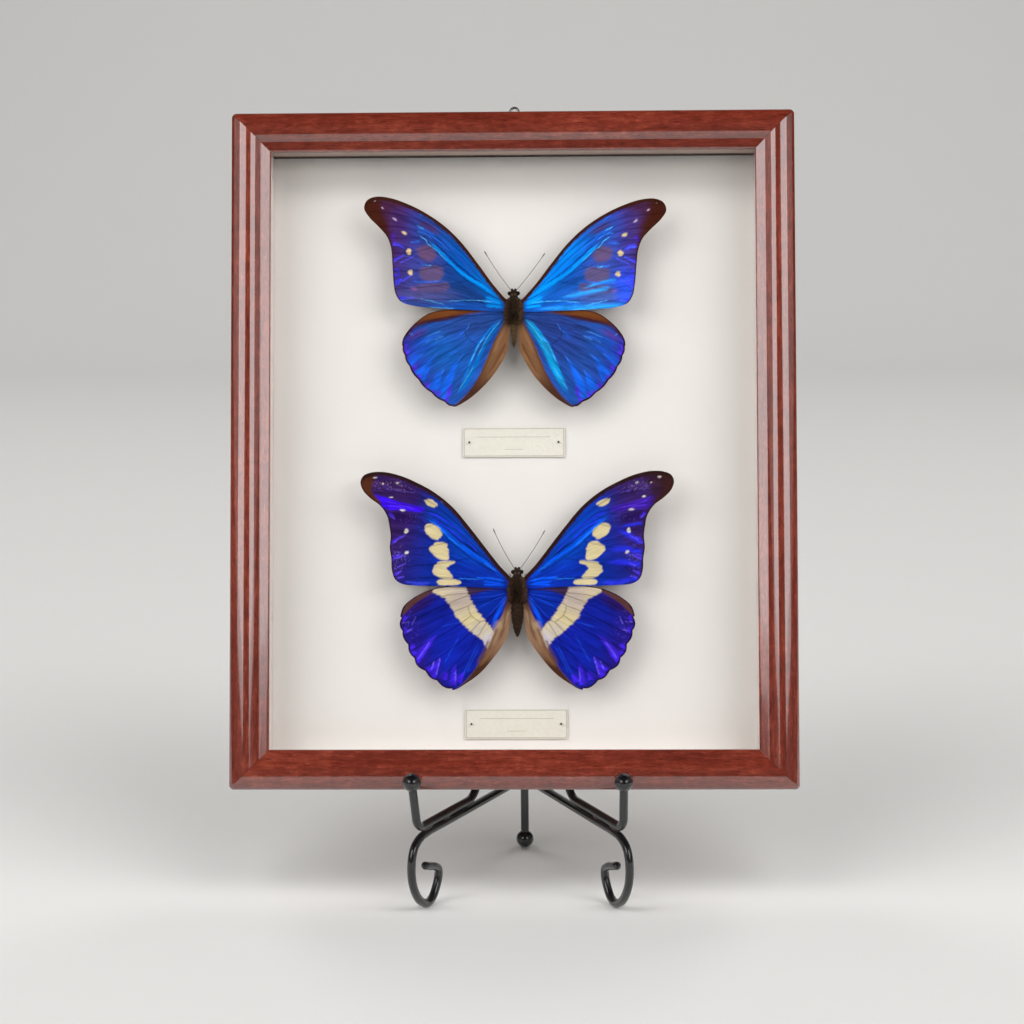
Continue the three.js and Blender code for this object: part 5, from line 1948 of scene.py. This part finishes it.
    def limbs(self, shell: Shell, side: Side) -> None:
        """Adds one side's feeler, with its club, and three folded legs.

        Args:
            shell: the body that the limbs are added to.
            side: the side they grow on.
        """
        trunk, level = self.trunk, self.level
        half_width = trunk.thorax[0]
        tip = trunk.feelers[side is Side.RIGHT]
        root = np.array([side * 0.8, trunk.head[1] + 1.0, level + 1.1])
        end = np.array([*tip, level + 2.2])
        t = np.linspace(0, 1, 40)[:, None]
        line = root + (end - root) * t + np.array([side * 0.5, 0, 0.4]) * 4 * t * (1 - t)
        thick = 0.11 + 0.015 * np.cos(np.arange(40) * np.pi) + 0.13 * ease(t[:, 0], 0.84, 0.95)
        thick[-1] = 0.05
        self.add_tube(shell, line, thick, Z_AXIS)
        for at, reach in ((2.6, 3.2), (-0.4, -1.0), (-3.0, -4.4)):
            joints = np.array([
                (side * (half_width * wide + out), at + reach * along, level - down)
                for wide, out, along, down in (
                    (0.35, 0, 0, 2), (1, 1.2, 0.6, 3.4), (1, 0.4, 1, 6), (1, 1, 1.3, 7.6),
                )
            ])
            self.add_tube(shell, evenly(joints, 24), np.linspace(0.36, 0.14, 24), np.array([0.0, 1.0, 0.3]))

    def hairs(self, shell: Shell, count: int = 4600, thick: float = 0.075) -> None:
        """Covers the thorax, the abdomen and the wings' roots with fine hairs.

        Each hair is a slim spike on three points round its root. It leaves the skin along the
        ellipse's normal, laid back towards the tail, and its length and lean vary at random.

        Args:
            shell: where the hairs go.
            count: how many there are.
            thick: a hair's radius at its root.
        """
        trunk = self.trunk
        strays = ((0.0, 0.25), (-0.8, 0.25), (0.0, 0.2))
        draw = np.random.default_rng(self.seed)
        half_length, at = trunk.thorax[1], trunk.thorax[3]
        low = trunk.abdomen[1] + 1.0
        on_thorax = draw.random(count) < 0.78
        y = np.where(on_thorax, draw.uniform(at - half_length, at + half_length * 0.96, count),
                     draw.uniform(low, at, count))
        angle = draw.uniform(-0.5, np.pi + 0.5, count)
        wide, high = self.widths(y)
        at_side = ease(np.abs(np.cos(angle)), 0.45, 0.8) * ease(y, at - half_length, at - half_length * 0.6)
        wide = wide + 1.1 * at_side * (draw.random(count) < 0.7)
        root = np.stack([wide * np.cos(angle), y, self.level + high * np.sin(angle)], -1)
        normal = unit(np.stack([np.cos(angle) / wide, np.zeros(count), np.sin(angle) / high], -1))
        chest = ease(y, at - half_length, at - half_length * 0.6)
        length = (0.3 + 0.55 * chest + 0.8 * at_side) * draw.uniform(0.6, 1.3, count)
        stray = np.stack([draw.normal(middle, spread, count) for middle, spread in strays], -1)
        way = unit(normal * 0.55 + stray)
        across = np.cross(way, normal)
        across /= np.maximum(np.linalg.norm(across, axis=1, keepdims=True), 1e-6)
        third = np.cross(way, across)
        corners = [
            root - normal * 0.1 + thick * (math.cos(a) * across + math.sin(a) * third) for a in (0, 2.1, 4.2)
        ]
        tip = root + way * length[:, None]
        points = np.stack([*corners, tip], 1).reshape(-1, 3)
        base = np.arange(count)[:, None] * 4
        faces = np.vstack([base + np.array(f) for f in ((0, 1, 3), (1, 2, 3), (2, 0, 3), (0, 2, 1))])
        lightness = (draw.uniform(0.4, 1.5, count) + at_side * draw.exponential(1.9, count))[:, None]
        share = chest[:, None]
        colours = lightness * (dull(trunk.tail) * (1 - share) + dull(trunk.fur) * share)
        shell.loose(self.placed(points), faces, np.repeat(colours, 4, axis=0))

    def pinned(self) -> None:
        """Builds the pin through the thorax."""
        at, radius, top, point = self.pin
        heights = np.concatenate([[point], np.linspace(point + 1.2, top, 12)])
        thick = np.full(len(heights), radius)
        thick[0] = SMALL
        shaft = swept(upright_line(0.0, at, heights), thick, X_AXIS, 12)
        head = ball(np.array([0, at, top]), (0.6, 0.6, 0.5), 24)
        shell = Shell(f"{self.name}_pin_shaft").tube(self.placed(shaft)).lump(self.placed(head))
        shell.build(self.finishes.pin, "pin_steel", f"{self.name}_pin")

    def build(self) -> None:
        """Builds the whole insect."""
        for side in Side:
            for front in (True, False):
                self.wing(side, front)
        self.body()
        self.pinned()


# ---------------------------------------------------------------------------- labels


@dataclass
class Label:
    """A card held by two small round-headed pins."""

    plane: FramePlane
    finishes: Finishes
    name: str
    centre: Point
    thickness: float = 0.4
    level: float = -22.0
    pin_at: float = 20.0
    pin_point: float = -26.0
    curl: float = 0.12

    def build(self) -> None:
        """Builds the card, a little curled at its corners, and its pins."""
        width, height = LABEL_SIZE
        across, upwards = np.linspace(-width / 2, width / 2, 60), np.linspace(-height / 2, height / 2, 20)
        x, y = np.meshgrid(across, upwards, indexing="ij")
        top = np.stack([x, y, self.level + self.thickness / 2 + self.curl * (x / width * 2) ** 4], -1)
        bottom = top - np.array([0, 0, self.thickness])
        shift = np.array([*self.centre, 0.0])
        upper, lower = self.plane.world(top + shift), self.plane.world(bottom + shift)
        shell = Shell(f"{self.name}_label_card")
        shell.grid(upper, top[..., :2]).grid(lower, top[..., :2] * 3, flip=True)
        shell.grid(rim(upper, lower), ring=True, flip=True)
        shell.build(self.finishes.card, "label_card", f"{self.name}_label")
        for side in Side:
            self.pin(side)

    def pin(self, side: Side) -> None:
        """Builds one of the two pins.

        Args:
            side: the end of the card it goes through.
        """
        x, y = self.centre[0] + side * self.pin_at, self.centre[1]
        base = self.level + self.thickness / 2 + 0.2
        shaft = swept(upright_line(x, y, np.linspace(self.pin_point, base + 0.3, 8)), 0.3, X_AXIS, 12)
        head = ball(np.array([x, y, base + 0.5]), (0.46, 0.46, 0.5), 20)
        node = f"{self.name}_label_pin_{side.word}"
        shell = Shell(f"{node}_steel").tube(self.plane.world(shaft)).lump(self.plane.world(head))
        shell.build(self.finishes.pin, "pin_steel", node)


# ---------------------------------------------------------------------------- easel


@dataclass
class Easel:
    """Two bent wire wings that meet at a rear post, with scroll feet and round tips."""

    finishes: Finishes
    rod: float = 1.9
    wing_angle: float = math.radians(28.2)
    bend_x: float = 44.9
    arm_z: float = 38.3
    bend_radius: float = 4.5
    heel_radius: float = 8.5
    post_top: float = 190.0
    post_clearance: float = 4.6
    foot_rod_z: float = 34.4
    ball_radius: float = 4.1
    ball_sink: float = 1.4
    front_ball_z: float = 59.6
    front_edge: tuple[float, float] = (4.2, 54.6)
    ball_shift: Point = (-2.1, 0.2)
    upper_weld_z: float = 183.0
    beads: Line = ((8.0, 4.5), (24.0, 3.2), (44.0, 5.0))
    scroll: Line = (
        (20, 34.4), (9, 34.4), (2.5, 33.6), (-2.4, 30.8), (-4.9, 26), (-5.54, 20.8), (-4.9, 15.1),
        (-2.6, 9.6), (1.2, 4.8), (6.6, 1.95), (11.2, 2.9), (14.4, 6.4), (16.6, 10.9), (16.6, 14.6),
        (13.6, 16.8), (9, 18.4), (4.2, 20.1),
    )

    def __post_init__(self) -> None:
        """Finds the rear post from the ball that it stands on."""
        self.post = box_middle("rear_ball")[:2]
        self.wing_length = self.bend_x / math.sin(self.wing_angle)
        self.bend_y = self.post[1] - self.wing_length * math.cos(self.wing_angle)

    def wire(self, shell: Shell, node: str) -> None:
        """Makes a piece of black wire that stands for a solid."""
        shell.build(self.finishes.enamel, "black_wire", node)

    def on_wing(self, side: Side, distance: Array, height: Array, shift: float = 0.0) -> Array:
        """Points in the plane of one wing, from the distance behind its bend and the height.

        Args:
            side: which wing.
            distance: the distance behind the bend.
            height: the height above the floor.
            shift: how far the points move sideways.

        Returns:
            The points in the object's axes, in millimetres.
        """
        distance, height = np.broadcast_arrays(np.asarray(distance, float), np.asarray(height, float))
        x = self.post[0] + side * (self.bend_x - distance * math.sin(self.wing_angle)) + shift
        return np.stack([x, self.bend_y + distance * math.cos(self.wing_angle), height], -1)

    def square(self, side: Side) -> Array:
        """The direction square to one wing's plane."""
        return np.array([math.cos(self.wing_angle), side * math.sin(self.wing_angle), 0.0])

    def arm(self, side: Side) -> None:
        """Builds the rod that holds the frame: stem, level run, heel and leaning upright.

        Args:
            side: the side it stands on.
        """
        behind = FRAME_DEPTH + 0.3 + self.rod + math.sin(LEAN) * (self.arm_z - self.front_edge[1])
        heel_at = (behind / math.cos(LEAN) + self.front_edge[0]) / math.cos(self.wing_angle)
        end = self.wing_length - self.post_clearance
        upright_top = self.arm_z + (end - heel_at) * math.cos(self.wing_angle) / math.tan(LEAN)
        tip = self.on_wing(side, 0, self.front_ball_z, self.ball_shift[side is Side.RIGHT])
        corners = np.array([
            tip - np.array([0, 0, self.ball_sink - 1.0]), self.on_wing(side, 0, self.arm_z),
            self.on_wing(side, heel_at, self.arm_z), self.on_wing(side, end, upright_top),
            self.on_wing(side, end, self.post_top),
        ])
        line = evenly(bent_line(corners, [self.bend_radius, self.heel_radius, 8.0], 0.07), 220)
        rod = swept(line, self.rod, self.square(side), 24)
        self.wire(Shell(f"{side.word}_arm_wire").tube(rod), f"{side.word}_arm")
        tip_ball = ball(tip, (self.ball_radius,) * 3, 48)
        self.wire(Shell(f"{side.word}_tip_ball").lump(tip_ball), f"{side.word}_ball")

    def foot(self, side: Side) -> None:
        """Builds the lower rod and its scroll, with the weld beads between it and the arm.

        Args:
            side: the side it stands on.
        """
        curl = smooth_line(np.array(self.scroll), 10)
        reach = self.wing_length - 2.2
        start = self.on_wing(side, np.array([reach]), np.array([self.foot_rod_z]))
        line = np.vstack([start, self.on_wing(side, curl[:, 0], curl[:, 1])])
        line, thick = round_ended(evenly(line, 260), self.rod)
        shell = Shell(f"{side.word}_foot_wire").tube(swept(line, thick, self.square(side), 24))
        middle = (self.arm_z + self.foot_rod_z) / 2
        square = self.square(side)
        turn = np.stack([square, np.cross(Z_AXIS, square), Z_AXIS], 1)
        for distance, length in self.beads:
            shell.lump(ball(self.on_wing(side, distance, middle), (1.25, length, 1.1), 20, turn))
        self.wire(shell, f"{side.word}_foot")

    def rear(self) -> None:
        """Builds the rear post with its ball and the weld at its head."""
        x, y = self.post
        heights = np.linspace(self.ball_radius + self.ball_sink, self.post_top, 60)
        line, thick = round_ended(upright_line(x, y, heights), self.rod)
        shell = Shell("rear_post_wire").tube(swept(line, thick, X_AXIS, 24))
        for height, long in ((self.upper_weld_z, 4.0), (self.foot_rod_z, 2.2)):
            shell.lump(ball(np.array([x, y - 2.0, height]), (2.4, 1.6, long), 24))
        self.wire(shell, "rear_post")
        foot = ball(np.array([x, y, self.ball_radius]), (self.ball_radius,) * 3, 48)
        self.wire(Shell("rear_foot_ball").lump(foot), "rear_ball")

    def build(self) -> None:
        """Builds the easel."""
        for side in Side:
            self.arm(side)
            self.foot(side)
        self.rear()


# ---------------------------------------------------------------------------- light, floor and view


@dataclass(frozen=True)
class SoftBox:
    """A lit rectangle that faces the object, placed by its direction in degrees and its distance.

    Its glow is the brightness of its surface; its power is pi times glow times area.
    """

    name: str
    azimuth: float
    elevation: float
    distance: float
    width: float
    height: float
    glow: float
    mirrored: bool = True

    def place(self, target: Vector) -> None:
        """Adds the light and turns it to the target.

        Args:
            target: the point that it faces.
        """
        lamp = bpy.data.lights.new(self.name, "AREA")
        lamp.shape, lamp.size, lamp.size_y = "RECTANGLE", self.width, self.height
        lamp.energy = math.pi * self.glow * self.width * self.height
        stand = bpy.data.objects.new(self.name, lamp)
        stand.visible_glossy = self.mirrored
        way = direction(self.azimuth, self.elevation)
        stand.location = target + way * self.distance
        stand.rotation_euler = (-way).to_track_quat("-Z", "Y").to_euler()
        bpy.context.scene.collection.objects.link(stand)


@dataclass
class Studio:
    """A pale floor that rises into a backdrop, soft light from both sides and above, and the camera."""

    target: Triple = (0.0, -0.03563, 0.1744)
    azimuth: float = 1.618
    elevation: float = 12.0
    distance: float = 1.053
    roll: float = 0.543
    lens: float = 85.32
    floor_reach: float = 2.6
    floor_front: float = 1.05
    backdrop_at: float = 1.5
    backdrop_height: float = 2.4
    backdrop_curve: float = 0.7
    boxes: tuple[SoftBox, ...] = tuple(
        SoftBox(f"{name}_box_{side.word}", side * turn, elevation, 2.2, width, height, glow, shown)
        for side in Side
        for name, turn, elevation, width, height, glow, shown in (
            ("low", 34.0, 10.7, 0.93, 0.1, 1.9, True), ("main", 34.0, 22.5, 0.93, 0.82, 3.35, True),
            ("high", 38.0, 58.0, 0.93, 0.96, 4.4, False), ("edge", 66.0, 24.0, 1.7, 1.1, 0.5, True),
            ("fill", 63.0, 30.0, 1.0, 1.5, 5.0, False), ("rear", 140.0, 38.0, 0.9, 0.9, 4.5, False),
        )
    )

    def floor(self) -> None:
        """Sweeps the floor's section, flat and then a quarter circle up to the backdrop, sideways."""
        turn = np.linspace(0, np.pi / 2, 24)
        start, radius = np.array([self.backdrop_at, 0.0]), self.backdrop_curve
        curve = start + radius * np.stack([np.sin(turn), 1 - np.cos(turn)], 1)
        section = np.vstack([[(-self.floor_front, 0.0)], curve, [(curve[-1, 0], self.backdrop_height)]])
        x, y = np.meshgrid(np.linspace(-self.floor_reach, self.floor_reach, 9), section[:, 0], indexing="ij")
        points = np.stack([x, y, np.broadcast_to(section[:, 1], x.shape)], -1)
        mesh = bpy.data.meshes.new("studio_floor")
        faces = quads(np.arange(x.size).reshape(x.shape))
        mesh.from_pydata(points.reshape(-1, 3).tolist(), [], faces.tolist())
        mesh.polygons.foreach_set("use_smooth", np.ones(len(mesh.polygons), bool))
        finish = NodeTree("studio_floor")
        finish.surface(Base_Color=linear(206, 205, 203), Roughness=0.8, Specular_IOR_Level=0.2)
        mesh.materials.append(finish.material)
        floor = bpy.data.objects.new("studio_floor", mesh)
        bpy.context.scene.collection.objects.link(floor)

    def world(self) -> None:
        """Gives the surroundings a pale tone that lights and mirrors in nothing."""
        world = bpy.data.worlds.new("studio")
        world.use_nodes = True
        sky = world.node_tree.nodes["Background"]
        sky.inputs["Color"].default_value = (*linear(232, 234, 238), 1.0)
        sky.inputs["Strength"].default_value = 1.0
        world.cycles_visibility.diffuse = False
        world.cycles_visibility.glossy = False
        bpy.context.scene.world = world

    def camera(self) -> None:
        """Places the camera, turned a little about its own axis."""
        way = direction(self.azimuth, self.elevation)
        right = direction(self.azimuth + 90.0, 0.0)
        above = way.cross(right)
        cos, sin = math.cos(math.radians(self.roll)), math.sin(math.radians(self.roll))
        level_right, level_up = cos * right - sin * above, sin * right + cos * above
        lens = bpy.data.cameras.new("view")
        lens.lens, lens.sensor_width, lens.clip_start, lens.clip_end = self.lens, 36.0, 0.05, 30.0
        camera = bpy.data.objects.new("view", lens)
        turn = Matrix((level_right, level_up, way)).transposed().to_4x4()
        camera.matrix_world = Matrix.Translation(Vector(self.target) + way * self.distance) @ turn
        bpy.context.scene.collection.objects.link(camera)
        bpy.context.scene.camera = camera

    def build(self) -> None:
        """Builds the floor, the light and the camera."""
        self.floor()
        self.world()
        for box in self.boxes:
            box.place(Vector(self.target))
        self.camera()
        view = bpy.context.scene.view_settings
        view.view_transform, view.look, view.exposure, view.gamma = "Standard", "None", 0.0, 1.0


# ---------------------------------------------------------------------------- the whole object


def dress(nodes: dict[str, bpy.types.Object], names: list[str], material: bpy.types.Material) -> None:
    """Gives solids that stay as they are their finish.

    Args:
        nodes: the solids, by name.
        names: which of them get the finish.
        material: the finish.
    """
    for name in names:
        mesh = nodes[name].data
        mesh.materials.clear()
        mesh.materials.append(material)
        log.info("%s: dressed as it is", name)


def main() -> None:
    """Builds everything in order."""
    logging.basicConfig(level=logging.INFO, format="%(name)s %(message)s")
    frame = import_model()
    finishes = Finishes()
    Studio().build()
    plane = FramePlane.from_pane()
    Moulding(plane, finishes).build()
    Hanger(plane, finishes).build()
    back_metal = [f"back_tab_{i}" for i in range(1, 9)]
    back_metal += ["hanger_plate", "hanger_screw_left", "hanger_screw_right"]
    for names, material in (
        (["glass_pane"], Glass().material()),
        (["bottom_lining", "left_lining", "right_lining"],
         Paper("cream_lining", linear(220, 208, 202)).material()),
        (["top_lining"], ShadedLining(plane).material()),
        (["backing_board"], Paper("cream_board", linear(226, 222, 217), drift=0.012).material()),
        (["back_panel"], Hardboard().material()),
        (back_metal, finishes.steel),
    ):
        dress(frame["nodes"], names, material)
    Butterfly(
        plane, finishes, "upper", centre=(0.3, 211.8), turn=math.radians(0.8),
        trunk=Trunk(
            thorax=(2.75, 6.3, 3.2, 0.2), abdomen=(1.3, -16.5), head=(2.35, 7.9),
            feelers=((-13.1, 27), (14.1, 26)), fur=linear(62, 47, 36), tail=linear(104, 84, 58),
        ),
        forewing=(UPPER_FOREWING, UPPER_FOREWING_PATTERN), hindwing=(UPPER_HINDWING, UPPER_HINDWING_PATTERN),
        scales=WingScales("sky_scales").material(), seed=11,
    ).build()
    Butterfly(
        plane, finishes, "lower", centre=(1.6, 88.3), turn=0.0,
        trunk=Trunk(
            thorax=(2.75, 6.3, 3.2, -0.6), abdomen=(2.75, -21.6), head=(2.4, 7.1),
            feelers=((-10.7, 26.6), (12.4, 25.8)), fur=linear(58, 43, 33), tail=linear(62, 45, 34),
        ),
        forewing=(LOWER_FOREWING, LOWER_FOREWING_PATTERN), hindwing=(LOWER_HINDWING, LOWER_HINDWING_PATTERN),
        scales=WingScales("royal_scales").material(), seed=47,
    ).build()
    Label(plane, finishes, "upper", (0.0, 154.0)).build()
    Label(plane, finishes, "lower", (0.8, 28.1)).build()
    Easel(finishes).build()


if __name__ == "__main__":
    main()
